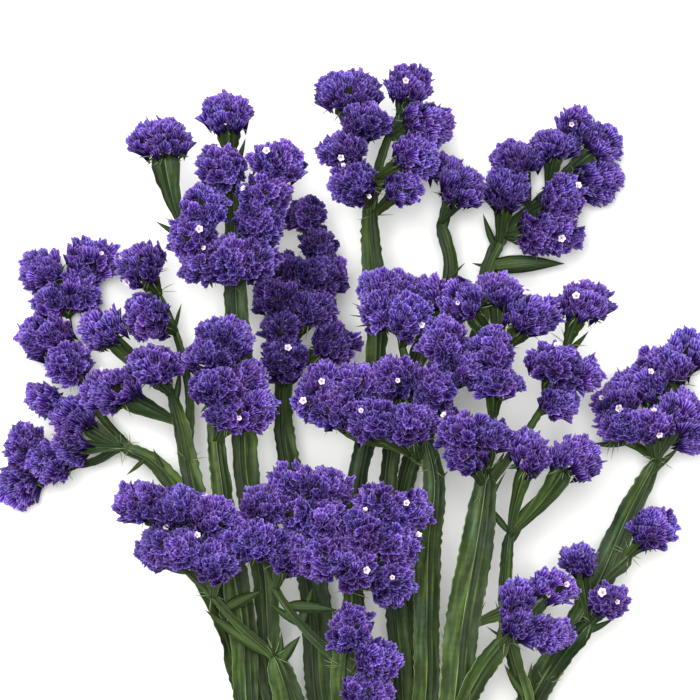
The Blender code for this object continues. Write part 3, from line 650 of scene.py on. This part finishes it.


# Winged stem: leafy and a little waxy, streaked lengthwise, with painted shade on one half of the wing, pale
# ridges and painted highlights on the edges.
def leafyStem():
    material, tree, shader = newMaterial("leafy_stem")
    uv = addNode(tree, "UVMap", uv_map="lie")
    where = addNode(tree, "TexCoord").outputs["Object"]
    # fibres 1.5 mm apart and 25 mm long, drawn coarser than they grow because finer ones don't show here
    stretched = addNode(tree, "Mapping", {"Vector": uv, "Scale": (18, 4, 1)})
    fibre = addNode(tree, "TexNoise", {"Vector": stretched, "Scale": 1, "Detail": 3})
    # crumples that cross the wings every 3 mm, and drifts of 30 mm from fresher to bluer green
    crosswise = addNode(tree, "Mapping", {"Vector": uv, "Scale": (5, 33, 1)})
    crumple = addNode(tree, "TexNoise", {"Vector": crosswise, "Scale": 1, "Detail": 1})
    drift = addNode(tree, "TexNoise", {"Vector": where, "Scale": 1 / (30 * mm), "Detail": 1})
    mottle = addNode(tree, "Math", {0: crumple, 1: stemForm["crumpleShare"]}, operation="MULTIPLY")
    grain = addNode(tree, "Math", {0: fibre, 1: 1 - stemForm["crumpleShare"], 2: mottle},
                    operation="MULTIPLY_ADD")
    fresh = addNode(tree, "ValToRGB", {"Fac": grain}, [
        (0.32, "#1a260e"), (0.46, "#2b3b15"), (0.58, "#405421"), (0.76, "#5e733c"),
    ])
    cool = addNode(tree, "ValToRGB", {"Fac": grain}, [(0.32, "#142018"), (0.5, "#263824"), (0.72, "#496148")])
    driftPart = addNode(tree, "MapRange", {"Value": drift, "From Min": 0.46, "From Max": 0.64, "To Max": 0.7})
    flesh = addNode(tree, "Mix", {"Factor": driftPart, 6: fresh, 7: cool}, data_type="RGBA").outputs[2]
    # a tone over 0 is a paler ridge or a wing edge with a painted highlight, one under 0 painted shade on the
    # half of a folded wing that faces away from the light
    tone = addNode(tree, "Attribute", attribute_name="tone").outputs["Fac"]
    shade = addNode(tree, "MapRange", {"Value": tone, "From Min": 0, "From Max": -1, "To Max": 0.7})
    shaded = addNode(tree, "Mix", {"Factor": shade, 6: flesh, 7: linear("#0f180c")},
                     data_type="RGBA").outputs[2]
    # over 0 the colour pales: a painted highlight on the wing edges, and the paler ridges, cut end and hairs
    lit = addNode(tree, "Math", {0: tone, 1: fibre}, operation="MULTIPLY")
    pale = addNode(tree, "MapRange", {"Value": lit, "From Min": 0.28, "From Max": 0.6, "To Max": 0.85})
    mixed = addNode(tree, "Mix", {"Factor": pale, 6: shaded, 7: linear("#8fa372")},
                    data_type="RGBA").outputs[2]
    bump = addNode(tree, "Bump", {"Height": grain, "Strength": 0.9, "Distance": 0.45 * mm})
    feed(tree, shader, {"Base Color": mixed, "Normal": bump, "Roughness": 0.55, "Specular IOR Level": 0.2})
    return material


def wingedRings(samples, depths, squeezes, seed, side=None):
    # the section set along a line of (place, width), its wing edges waved unless the tie squeezes them
    centres = [sample.xyz for sample in samples]
    rings, tones = [], []
    travelled = 0
    # painted shade falls on the left half of some stems and on the right half of others
    row = section if int(seed) % 2 else [(-x, z, tone) for x, z, tone in reversed(section)]
    for i, (sample, along) in enumerate(zip(samples, directions(centres))):
        travelled += (centres[i] - centres[i - 1]).length if i else 0
        across = along.cross(up) if side is None else side - along * side.dot(along)
        across = (across if across.length > 0.05 else Vector((1, 0, 0))).normalized()
        front = across.cross(along).normalized()
        free = 1 - squeezes[i]
        beat = travelled / stemForm["waveLength"]
        small = min(1, sample.w / stemForm["waveWidth"])
        lean = noise.noise(Vector((travelled / stemForm["twistLength"], seed, 7))) * 2 * free * small
        turn = Matrix.Rotation(math.radians(stemForm["twist"] * lean), 3, along)
        across, front = turn @ across, turn @ front
        ring = []
        for x, z, tone in row:
            edge = abs(x) ** 3 * free * small
            key = Vector((beat, seed + (9 if x > 0 else 0), 0))
            toothTurn = math.tau * travelled / stemForm["toothLength"] + key.y + 2 * noise.noise(key * 2)
            teeth = math.sin(toothTurn) * stemForm["tooth"]
            push = (noise.noise(key) * stemForm["edgeWave"] * 1.6 + teeth) * edge
            lift = noise.noise(key + Vector((3.3, 5.1, 0))) * stemForm["edgeLift"] * edge * 2 \
                + abs(x) * sample.w / 2 * stemForm["rise"] * free
            fold = z + (math.copysign(1 - abs(x), z) - z) * squeezes[i] * 0.8
            ring.append(sample.xyz + across * (x * sample.w / 2 + math.copysign(push, x))
                        + front * (fold * depths[i] / 2 + lift))
        rings.append(ring)
        tones.append([tone for x, z, tone in row])
    return rings, tones, travelled / stemForm["uvLength"]


def stemSamples(spec, spacing, bareSpacing):
    # from the cut end through the tie and on to the last node
    row, column = spec["slot"]
    tie = place(*photo["tie"])
    x = tie.x + column * bundle["columnPitch"]
    z = bundle["tieThickness"] + bundle["gap"] + bundle["stemDepth"] / 2 + row * bundle["rowPitch"]
    cut = place(0, photo["cutY"] + photo["cutStagger"] * math.sin(7 * column + 3 * row))
    cutX = tie.x + (x - tie.x) * bundle["spreadAtCut"]
    straight = bundle["straight"] * bundle["tieLength"]
    bound = [Vector((x, tie.y + reach, z, bundle["stemWidth"])) for reach in (-straight, straight)]
    bare = [Vector((cutX, cut.y, z, bundle["stemWidth"] * bundle["cutFuller"])), bound[0]]
    upper = [Vector((*place(px, py, height), width * mm)) for px, py, height, width in spec["line"]]
    first = upper[0].lerp(bound[1], 0.5)
    first.x = bound[1].x + (upper[0].x - bound[1].x) * bundle["bendShare"]
    first.z = bound[1].z + (upper[0].z - bound[1].z) * bundle["bendShare"]
    leaving = bound[1] + Vector((0, bundle["tieLength"] * 0.5, 0, 0))
    return smoothLine(bare, bareSpacing) + smoothLine([bound[1], leaving, first, *upper], spacing)


def roundOff(samples):
    for sample, share in zip(reversed(samples), stemForm["endSteps"]):
        sample.w *= share
    return samples


def forkSamples(points, spacing):
    line = []
    for i, point in enumerate(points):
        width = point[3] * mm if len(point) > 3 else stemForm["forkWidth"] - stemForm["forkTaper"] * i
        line.append(Vector((*place(*point[:3]), width)))
    return smoothLine(line, spacing)


def densePoints(samples):
    centres = [sample.xyz for sample in samples]
    points = []
    for a, b in zip(centres, centres[1:]):
        points += [(a.lerp(b, step / 4), (b - a).normalized()) for step in range(4)]
    points.append((centres[-1], (centres[-1] - centres[-2]).normalized()))
    return points


def solidSkeleton(spec):
    samples = stemSamples(spec, stemForm["solidSpacing"], stemForm["solidBareSpacing"])
    skeleton = densePoints(samples[len(samples) // 2:])
    for points in spec["forks"]:
        skeleton += densePoints(forkSamples(points, stemForm["solidSpacing"]))
    return skeleton


# head sizes in mm across and along the picture
headSizes = {
    "broad": (32, 21),
    "wide": (27, 20),
    "round": (22, 21),
    "flat": (24, 16),
    "tall": (18.5, 23),
    "small": (17, 16.5),
}
headForm = {
    "depth": 0.85,
    "seat": 0.72,
    "cover": 1.5,           # calyx mouths over the area that they cover
    "goldenTurn": 2.39996,  # radians from one calyx to the next, so that they don't line up
    "sway": 0.25,
    "reach": 0.79,          # how far out the mouths lie, for the solid's head
    "uneven": 0.12,
    "under": 0.96,          # how far below that place a calyx starts, for its length
    "lowest": {"broad": -0.38, "wide": -0.42, "flat": -0.42, "round": -0.45, "tall": -0.5, "small": -0.45},
    "tilt": 0.22,
    "heart": 1.8,           # where the calyces fan out from, below the middle of the head
    "core": 0.52,
    "coreRise": 0.06,       # how far the core lies up the head's axis
    "near": 36 * mm,        # heads further apart than this don't meet
    "hidden": 0.8,          # calyces deeper than this in a neighbouring head are left out
    "floor": 1.0 * mm,
    "lump": 0.22,
    "lumpSize": 9 * mm,
    "gaps": -0.42,          # lower for fewer dark gaps between the calyces
    "gapSize": 5 * mm,
    "toneSpread": 0.65,     # from one calyx to the next
    # painted light: calyces paler towards a head's top
    "topPaintedLight": 0.65,     # from the seat of a head to its top
    "sideLighter": 0.55,    # where the calyces point sideways and light passes through them
    # heads made darker and lighter by stem; those of upper_back, which lie under the others, are darkened
    # most as painted shade
    "tones": {"upper_back": -0.95, "top_right": -0.1, "upper_left": 0.05, "centre_right": 0.05, "right": 0.15,
              "left_low": 0.05, "front_centre": -0.1, "low_right": 0.05},
}


def readHeads(name, spec):
    skeleton = solidSkeleton(spec)
    heads = []
    for px, py, height, sizeName in spec["heads"]:
        across, along = headSizes[sizeName]
        centre = place(px, py, height)
        semi = Vector((across / 2, along / 2, headForm["depth"] * (across + along) / 4)) * mm
        ranked = []
        for index, (point, way) in enumerate(skeleton):
            reach = centre - point
            if reach.length > stalkForm["reach"]:
                cost = reach.length * (stalkForm["turnCost"] - way.dot(reach.normalized()))
                ranked.append((cost, index, point, way))
        roots = [(point, way) for cost, index, point, way in sorted(ranked)[:stalkForm["choices"]]]
        scale = Matrix.Diagonal(semi)
        axis = Vector([part / s for part, s in zip(centre - roots[0][0], semi)]).normalized()
        normal = Vector([part / s for part, s in zip(axis, semi)]).normalized()
        heads.append({
            "stem": name, "centre": centre, "semi": semi, "scale": scale, "axis": axis, "roots": roots,
            "seat": centre - scale @ (axis * headForm["seat"]), "normal": normal, "size": sizeName,
        })
    return heads


stalkForm = {
    "reach": 13 * mm,
    "choices": 14,
    "turnCost": 1.9,                      # lower for roots further back, with less of a turn
    "sink": 1.5 * mm,
    "gap": 0.3 * mm,
    "reachIn": 1.6 * mm,
    "rootWidth": 2.6 * mm,
    "shoulders": {9: 0.72, 8: 0.93},      # how the top of a stalk rounds off
    "topWidth": {"broad": 14.5 * mm, "wide": 12 * mm, "round": 9.5 * mm, "flat": 9 * mm, "tall": 9 * mm,
                 "small": 7 * mm},
    "depth": 2.0 * mm,
    "bend": 0.4,                          # how far under the seat a long stalk bends, for its length
    "short": 30 * mm,                     # shorter ones are straight
    "near": 1.1 * mm,                     # how far a stalk may stray from the stem's own solid
}


def stalkLine(root, way, head):
    # where the solid's stalk runs: a bend towards the head's seat if it is long, else straight
    end = head["seat"] - head["normal"] * stalkForm["gap"]
    start = root - way * stalkForm["sink"]
    reach = (end - start).length
    bend = end - head["normal"] * reach * stalkForm["bend"]
    if reach < stalkForm["short"]:
        bend = start.lerp(end, 0.55)
    return [start.lerp(bend, step / 9).lerp(bend.lerp(end, step / 9), step / 9) for step in range(10)]


def makeStalk(bm, head, solid, seed):
    # takes the first way that lies in the stem's own solid
    for root, way in head["roots"]:
        line = stalkLine(root, way, head)
        line[-1] = line[-1] + head["normal"] * stalkForm["reachIn"]
        if all(solid.find_nearest(line[step])[3] < stalkForm["near"] for step in (4, 6, 8)):
            break
    else:
        return
    wide = stalkForm["topWidth"][head["size"]]
    samples, depths = [], []
    for step, point in enumerate(line):
        t = step / 9
        width = stalkForm["rootWidth"] + (wide - stalkForm["rootWidth"]) * t ** 1.1
        samples.append(Vector((*point, width * stalkForm["shoulders"].get(step, 1))))
        depths.append(stalkForm["depth"] * (0.8 + 0.5 * t))
    way = line[-1] - line[0]
    side = way.cross(up) if way.normalized().cross(up).length > 0.25 else Vector((1, 0, 0))
    skin(bm, *wingedRings(samples, depths, [0] * 10, seed, side.normalized()))


def makeStem(name, spec, heads, material, bracts):
    bm = newMesh()
    seed = draw.uniform(0, 90)
    samples = roundOff(stemSamples(spec, stemForm["spacing"], stemForm["bareSpacing"]))
    tieY = place(*photo["tie"]).y
    depths, squeezes = [], []
    for sample in samples:
        ahead = (sample.y - tieY) / bundle["tieLength"]
        squeeze = min(1, max(0, stemForm["freeAfter"] - ahead)) if ahead > 0 else 1
        squeezes.append(squeeze)
        free = min(stemForm["depth"], sample.w * stemForm["thinDepth"])
        depths.append(free + (bundle["stemDepth"] * 0.97 - free) * squeeze)
    rings, tones, long = wingedRings(samples, depths, squeezes, seed)
    tones[0] = [stemForm["cutTone"]] * len(section)
    skin(bm, rings, tones, long)
    for number, points in enumerate(spec["forks"]):
        line = roundOff(forkSamples(points, stemForm["spacing"]))
        for sample in line:
            sample.w *= stemForm["forkFuller"]
        depths = [min(stemForm["forkDepth"], sample.w * stemForm["forkThinDepth"]) for sample in line]
        skin(bm, *wingedRings(line, depths, [0] * len(line), seed + 20 + number))
    solid = BVHTree.FromObject(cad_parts["stem_" + name], bpy.context.evaluated_depsgraph_get())
    for number, head in enumerate(heads):
        makeStalk(bm, head, solid, seed + 40 + number)
        addBracts(bm, head, bracts)
    addTufts(bm, spec, bracts)
    addLeaves(bm, spec, solid)
    toneLayer = bm.verts.layers.float.get("tone")
    for vert in bm.verts:
        vert[toneLayer] += stemForm["tones"].get(name, 0)
    newPiece("dressed_stem_" + name, bm, [material], ["stem_" + name])


def addBracts(bm, head, bracts):
    # a green fringe that spreads from the top of the stalk under the head
    normal = head["normal"]
    first = normal.orthogonal().normalized()
    second = normal.cross(first)
    reach = (head["semi"].x + head["semi"].y) / 2
    for number in range(bract["perHead"]):
        turn = math.tau * number / bract["perHead"] + draw.uniform(-0.2, 0.2)
        out = first * math.cos(turn) + second * math.sin(turn)
        ring = draw.uniform(*bract["fringe"])
        base = head["seat"] + out * reach * ring + normal * (ring * 4 - 0.5) * mm
        aim = (out + normal * draw.uniform(-0.6, 0.8)).normalized()
        spin = draw.uniform(0, math.tau)
        template = draw.choice(bracts)
        scale = reach / bract["headReach"] * draw.uniform(*bract["sizes"])
        addCopy(bm, template, aimed(base, aim, spin, scale))


# curled hairs at the nodes
tuft = {"hairs": 7, "out": 1.5 * mm}


def addTufts(bm, spec, bracts):
    hairs = bracts[1::2]
    for points in spec["forks"]:
        for spot in (points[0], points[-1]):
            node = place(*spot[:3])
            for _ in range(tuft["hairs"]):
                aim = Vector((draw.gauss(0, 1), draw.gauss(0, 1), abs(draw.gauss(0, 0.7)))).normalized()
                turn = aimed(node + aim * tuft["out"], aim, draw.uniform(0, math.tau), draw.uniform(0.7, 1.2))
                addCopy(bm, draw.choice(hairs), turn)


leaf = {
    "length": 18.5 * mm,
    "width": 3.2 * mm,
    "thickness": 0.7 * mm,
    "belowNode": 6 * mm,
    "angle": 33,              # degrees from the stem
    "near": 3 * mm,           # a leaf that strays further from the stem's own solid is left out
    "tipRise": 3 * mm,
    "bend": 0.08,
    "steps": 7,
}


def addLeaves(bm, spec, solid):
    skeleton = solidSkeleton(spec)
    ends = [spec["line"][-1]] + [points[-1] for points in spec["forks"]]
    for number, end in enumerate(ends):
        node = place(*end[:3])
        root, along = min(skeleton, key=lambda pair: (pair[0] - node).length)
        root = root - along * leaf["belowNode"]
        turn = math.radians(leaf["angle"]) * (1 if number % 2 else -1)
        aim = Matrix.Rotation(turn, 3, "Z") @ along
        if solid.find_nearest(root + aim * leaf["length"] * 0.6)[3] > leaf["near"]:
            continue
        bend = (Matrix.Rotation(-turn * 0.5, 3, "Z") @ aim - aim) * 0.5
        skin(bm, *leafRings(root - aim * mm, aim, bend, leaf["length"], leaf["width"], leaf["thickness"],
                            leaf["steps"]))
    for x0, y0, x1, y1, width in spec["leaves"]:
        spot, tip = place(x0, y0), place(x1, y1)
        root = min(skeleton, key=lambda pair: (pair[0].xy - spot.xy).length)[0]
        tip.z = root.z + leaf["tipRise"]
        reach = tip - root
        bend = reach.cross(up).normalized() * leaf["bend"]
        aim = (reach.normalized() - bend).normalized()
        skin(bm, *leafRings(root, aim, bend, reach.length, width * mm, leaf["thickness"], leaf["steps"]))


def insideOf(point, head):
    away = point - head["centre"]
    return math.sqrt(sum((part / s) ** 2 for part, s in zip(away, head["semi"])))


def makeHead(bm, head, allHeads, calyces):
    semi = head["semi"]
    radius = (semi.x * semi.y * semi.z) ** (1 / 3)
    count = round(headForm["cover"] * 4 * (radius / calyx["mouth"]) ** 2)
    turn = head["axis"].to_track_quat("Z", "Y")
    near = [other for other in allHeads
            if other is not head and (other["centre"] - head["centre"]).length < headForm["near"]]
    heart = head["centre"] - head["scale"] @ (head["axis"] * headForm["heart"])
    # a random tone for each head, plus the per-stem tone that holds painted shade on the heads of upper_back
    headToneAndShade = draw.uniform(-0.3, 0.3) + headForm["tones"].get(head["stem"], 0)
    toneLayer = bm.verts.layers.float.get("tone")
    firstVert = len(bm.verts)
    lifts = []
    start = draw.uniform(0, math.tau)
    for number in range(count):
        level = 1 - 2 * (number + 0.5) / count
        if level < headForm["lowest"][head["size"]]:
            break
        angle = start + number * headForm["goldenTurn"] + draw.uniform(-headForm["sway"], headForm["sway"])
        ring = math.sqrt(1 - level * level)
        spot = turn @ Vector((math.cos(angle) * ring, math.sin(angle) * ring, level))
        lump = noise.noise((head["centre"] + head["scale"] @ spot) / headForm["lumpSize"]) * headForm["lump"]
        reach = headForm["reach"] + lump + draw.uniform(-headForm["uneven"], headForm["uneven"])
        tip = head["centre"] + head["scale"] @ (spot * reach)
        gap = noise.noise(tip / headForm["gapSize"] + Vector((3, 1, 4))) < headForm["gaps"]
        if gap or any(insideOf(tip, other) < headForm["hidden"] for other in near):
            continue
        tilt = Vector([draw.gauss(0, headForm["tilt"]) for _ in range(3)])
        aim = ((tip - heart).normalized() + tilt).normalized()
        size = draw.uniform(*calyx["sizes"])
        base = tip - aim * calyx["length"] * size * headForm["under"]
        base.z = max(base.z, headForm["floor"])
        addCopy(bm, draw.choice(calyces), aimed(base, aim, draw.uniform(0, math.tau), size))
        # painted light: calyces paler towards the head's top and where they point sideways
        paintedLight = level * headForm["topPaintedLight"] + (0.5 - abs(aim.z)) * headForm["sideLighter"]
        lifts.append((len(bm.verts), headToneAndShade + paintedLight))
    bm.verts.ensure_lookup_table()
    for last, lift in lifts:
        for index in range(firstVert, last):
            bm.verts[index][toneLayer] = bm.verts[index][toneLayer] * headForm["toneSpread"] + lift
        firstVert = last
    # a dark core inside the head, in the darkest green of the calyx colours, is painted shade in the gaps
    # between the calyces
    core = bmesh.ops.create_icosphere(bm, subdivisions=2, radius=1)["verts"]
    centre = head["centre"] + head["scale"] @ (head["axis"] * headForm["coreRise"])
    for vert in core:
        vert.co = centre + head["scale"] @ (vert.co * headForm["core"])
    return len(lifts)


# open flowers that the photograph shows, by their pixels
openFlowers = [
    (267, 152), (249, 171), (244, 189), (200, 230), (204, 248), (126, 281), (100, 253), (288, 348),
    (240, 417), (406, 81), (341, 158), (344, 167), (368, 196), (573, 123), (579, 185), (562, 238),
    (457, 303), (421, 325), (526, 295), (575, 296), (555, 346), (322, 381), (304, 400), (361, 410),
    (397, 380), (440, 412), (603, 398), (619, 408), (652, 372), (654, 411), (659, 434), (168, 524),
    (199, 533), (365, 508), (406, 502), (417, 533), (366, 567), (392, 575), (565, 583), (602, 592),
    (616, 601),
]


flowerForm = {
    "sizes": (0.8, 1.1),
    "out": 0.97,             # for the solid's head
    "sink": 1.2 * mm,
    "faceUp": 0.4,           # how far those on top turn towards the sky
    "rim": 0.93,             # how near to a head's outline a flower sits
    "miss": 1.5,             # a pixel further out than this isn't on that head
    "underneath": 0.4,       # share of heads with one on a side that the camera doesn't see
    "hidden": 0.9,           # flowers deeper than this in a neighbouring head are left out
    "lowest": 3 * mm,
}


def flowerSpots(allHeads):
    # each flower sits on the head that shows at its pixel
    spots = []
    for px, py in openFlowers:
        flat = place(px, py)
        best = None
        for head in allHeads:
            u = (flat.x - head["centre"].x) / head["semi"].x
            v = (flat.y - head["centre"].y) / head["semi"].y
            far = math.hypot(u, v)
            if far > flowerForm["rim"]:
                u, v = u * flowerForm["rim"] / far, v * flowerForm["rim"] / far
            spot = Vector((u, v, math.sqrt(1 - u * u - v * v)))
            if far < flowerForm["miss"]:
                score = head["centre"].z + head["semi"].z * spot.z - max(0, far - 1) * 0.1
                if best is None or score > best[0]:
                    best = (score, head, spot)
        if best:
            spots.append((best[1], best[2]))
    for head in allHeads:
        if draw.random() < flowerForm["underneath"]:
            spot = Vector((draw.uniform(-1, 1), draw.uniform(-1, 1), draw.uniform(-1, 0.1))).normalized()
            if spot.dot(head["axis"]) > -0.2:
                spots.append((head, spot))
    return spots


def addFlower(bm, head, spot, allHeads, corollas):
    point = head["centre"] + head["scale"] @ (spot * flowerForm["out"])
    deep = any(other is not head and insideOf(point, other) < flowerForm["hidden"] for other in allHeads)
    if deep or point.z < flowerForm["lowest"]:
        return
    outward = Vector([part / s for part, s in zip(spot, head["semi"])]).normalized()
    aim = (outward + up * flowerForm["faceUp"] * (spot.z > 0)).normalized()
    first = len(bm.faces)
    template = draw.choice(corollas)
    addCopy(bm, template, aimed(point - aim * flowerForm["sink"], aim, draw.uniform(0, math.tau),
                                draw.uniform(*flowerForm["sizes"])))
    bm.faces.ensure_lookup_table()
    for index in range(first, len(bm.faces)):
        bm.faces[index].material_index = 1


twine = {
    "radius": 1.0 * mm,
    "pitch": 2.15 * mm,
    "plies": 3,
    "lay": 5.5 * mm,
    "lobe": 0.16,             # how far a ply stands out
    "tight": 0.88,            # the twine's thickness under tension
    "columns": 9,
    "step": 0.9 * mm,
    "sideGap": 0.7 * mm,      # from the stems' own places to the middle of the twine
    "topGap": 0.9 * mm,
    "footCorner": 1.62,       # where the band turns up and in, in columns of stems
    "topCorner": 1.15,
    "knotOver": 3.0 * mm,     # the middle of the knot over the band's top
    "knotSize": 0.75 * mm,
    "knotSteps": 60,
    "tails": ((-0.5, 26 * mm), (0.75, 21 * mm)),     # turn from the stems in radians, and length
    "tailRise": 1.6 * mm,
}


# Jute twine: dry twisted plant fibre, matt and hairy, from straw to brown.
def juteTwine():
    material, tree, shader = newMaterial("jute_twine")
    # fibres 0.2 mm thick that run along the twine
    uv = addNode(tree, "UVMap", uv_map="lie")
    stretched = addNode(tree, "Mapping", {"Vector": uv, "Scale": (30, 240, 1)})
    fibre = addNode(tree, "TexNoise", {"Vector": stretched, "Scale": 1, "Detail": 5, "Roughness": 0.65})
    base = addNode(tree, "ValToRGB", {"Fac": fibre}, [(0.3, "#634b2d"), (0.5, "#9c7f55"), (0.68, "#bea67d")])
    bump = addNode(tree, "Bump", {"Height": fibre, "Strength": 0.7, "Distance": 0.2 * mm})
    feed(tree, shader, {"Base Color": base, "Normal": bump, "Roughness": 0.9, "Sheen Weight": 0.2})
    return material


def twineRings(path):
    # three plies that wind round each other along a path
    rings = []
    travelled = 0
    across = directions(path)[0].orthogonal().normalized()
    for i, (point, along) in enumerate(zip(path, directions(path))):
        travelled += (path[i] - path[i - 1]).length if i else 0
        across = (across - along * across.dot(along)).normalized()
        front = along.cross(across)
        ring = []
        for column in range(twine["columns"]):
            turn = math.tau * column / twine["columns"]
            lobe = 1 + twine["lobe"] * math.cos(twine["plies"] * turn - math.tau * travelled / twine["lay"])
            out = across * math.cos(turn) + front * math.sin(turn)
            ring.append(point + out * twine["radius"] * lobe * twine["tight"])
        rings.append(ring)
    return rings


def evenPath(points, step):
    samples = smoothLine([Vector((*point, 0)) for point in points], step)
    return [sample.xyz for sample in samples]


def makeTie(material):
    bm = newMesh()
    tie = place(*photo["tie"])
    half = 1.5 * bundle["columnPitch"] + bundle["stemWidth"] / 2 + bundle["gap"] + twine["sideGap"]
    top = bundle["tieThickness"] + 2 * bundle["gap"] + bundle["stemDepth"] \
        + (bundle["rows"] - 1) * bundle["rowPitch"]
    side = [
        (twine["footCorner"] * bundle["columnPitch"], twine["radius"]),
        (half, bundle["tieThickness"] + bundle["stemDepth"] * 0.38),
        (half, top - bundle["stemDepth"] / 2 - bundle["rowPitch"]),
        (twine["topCorner"] * bundle["columnPitch"], top + twine["topGap"]),
    ]
    outline = side + [(-x, z) for x, z in reversed(side)]
    turns = round((bundle["tieLength"] - 2 * twine["radius"]) / twine["pitch"])
    corners = []
    for turn in range(turns):
        for i, (x, z) in enumerate(outline):
            share = (turn + i / len(outline)) / turns - 0.5
            y = tie.y + share * (bundle["tieLength"] - 2.4 * twine["radius"])
            corners.append(Vector((tie.x + x, y, z)))
    skin(bm, twineRings(evenPath(corners, twine["step"])))
    # an overhand knot
    knotCentre = Vector((tie.x, tie.y, top + twine["knotOver"]))
    knot = []
    for step in range(twine["knotSteps"]):
        t = math.tau * step / twine["knotSteps"]
        x, y = math.sin(t) + 2 * math.sin(2 * t), math.cos(t) - 2 * math.cos(2 * t)
        knot.append(knotCentre + Vector((x, y, -math.sin(3 * t))) * twine["knotSize"])
    skin(bm, twineRings(knot + [knot[0]]))
    for turn, length in twine["tails"]:
        aim = Matrix.Rotation(turn, 3, "Z") @ Vector((0, 1, 0))
        middle = knotCentre + aim * length * 0.5 + up * twine["tailRise"]
        points = [knotCentre, middle, knotCentre + aim * length]
        skin(bm, twineRings(evenPath(points, twine["step"])))
    newPiece("wound_tie", bm, [material], ["tie"])


studio = {
    "distance": 4.0,
    "middleHeight": 45 * mm,
    "floor": "#f7f7f5",
    "sky": 0.6,
    # strength, width and turn in degrees of each soft light: from above, and from the picture's upper left
    "lights": {"over_light": (2.75, 24, (-4, -3, 0)), "key_light": (2.05, 35, (-30, -24, 0))},
}


def makeStudio():
    bm = bmesh.new()
    bmesh.ops.create_grid(bm, x_segments=1, y_segments=1, size=12)
    floor = bpy.data.objects.new("floor", asMesh(bm, "floor"))
    bpy.context.scene.collection.objects.link(floor)
    # matt painted board
    material, tree, shader = newMaterial("pale_floor")
    feed(tree, shader, {"Base Color": linear(studio["floor"]), "Roughness": 0.9})
    floor.data.materials.append(material)
    world = bpy.data.worlds.new("studio")
    bpy.context.scene.world = world
    world.use_nodes = True
    sky = world.node_tree.nodes["Background"]
    feed(world.node_tree, sky, {"Color": (1, 1, 1, 1), "Strength": studio["sky"]})
    for name, (strength, width, turn) in studio["lights"].items():
        light = bpy.data.objects.new(name, bpy.data.lights.new(name, "SUN"))
        light.data.energy = strength
        light.data.angle = math.radians(width)
        light.rotation_euler = [math.radians(angle) for angle in turn]
        bpy.context.scene.collection.objects.link(light)
    camera = bpy.data.objects.new("camera", bpy.data.cameras.new("camera"))
    camera.location = place(*photo["view"]) + up * studio["distance"]
    width = photo["size"] * photo["pixel"]
    camera.data.lens = camera.data.sensor_width * (studio["distance"] - studio["middleHeight"]) / width
    bpy.context.scene.collection.objects.link(camera)
    bpy.context.scene.camera = camera
    bpy.context.scene.view_settings.view_transform = "Standard"


makeStudio()
calyxMaterial, corollaMaterial = paperyCalyx(), whiteCorolla()
stemMaterial, twineMaterial = leafyStem(), juteTwine()
calyces = [makeCalyx(number) for number in range(calyx["kinds"])]
corollas = [makeCorolla(number) for number in range(corolla["kinds"])]
bracts = [makeBract(number) for number in range(bract["kinds"])]
heads = {name: readHeads(name, spec) for name, spec in stems.items()}
allHeads = [head for group in heads.values() for head in group]
flowers = flowerSpots(allHeads)
print("read", len(allHeads), "heads and", len(flowers), "open flowers")
for name, spec in stems.items():
    bm = newMesh()
    made = sum(makeHead(bm, head, allHeads, calyces) for head in heads[name])
    for head, spot in flowers:
        if head["stem"] == name:
            addFlower(bm, head, spot, allHeads, corollas)
    nodes = [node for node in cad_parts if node.startswith("flowers_" + name + "_")]
    newPiece("heads_" + name, bm, [calyxMaterial, corollaMaterial], nodes, smooth=False)
    makeStem(name, spec, heads[name], stemMaterial, bracts)
    print("made", name, "with", made, "calyces")
makeTie(twineMaterial)
for template in calyces + corollas + bracts:
    bpy.data.meshes.remove(template)
print("made the tie")
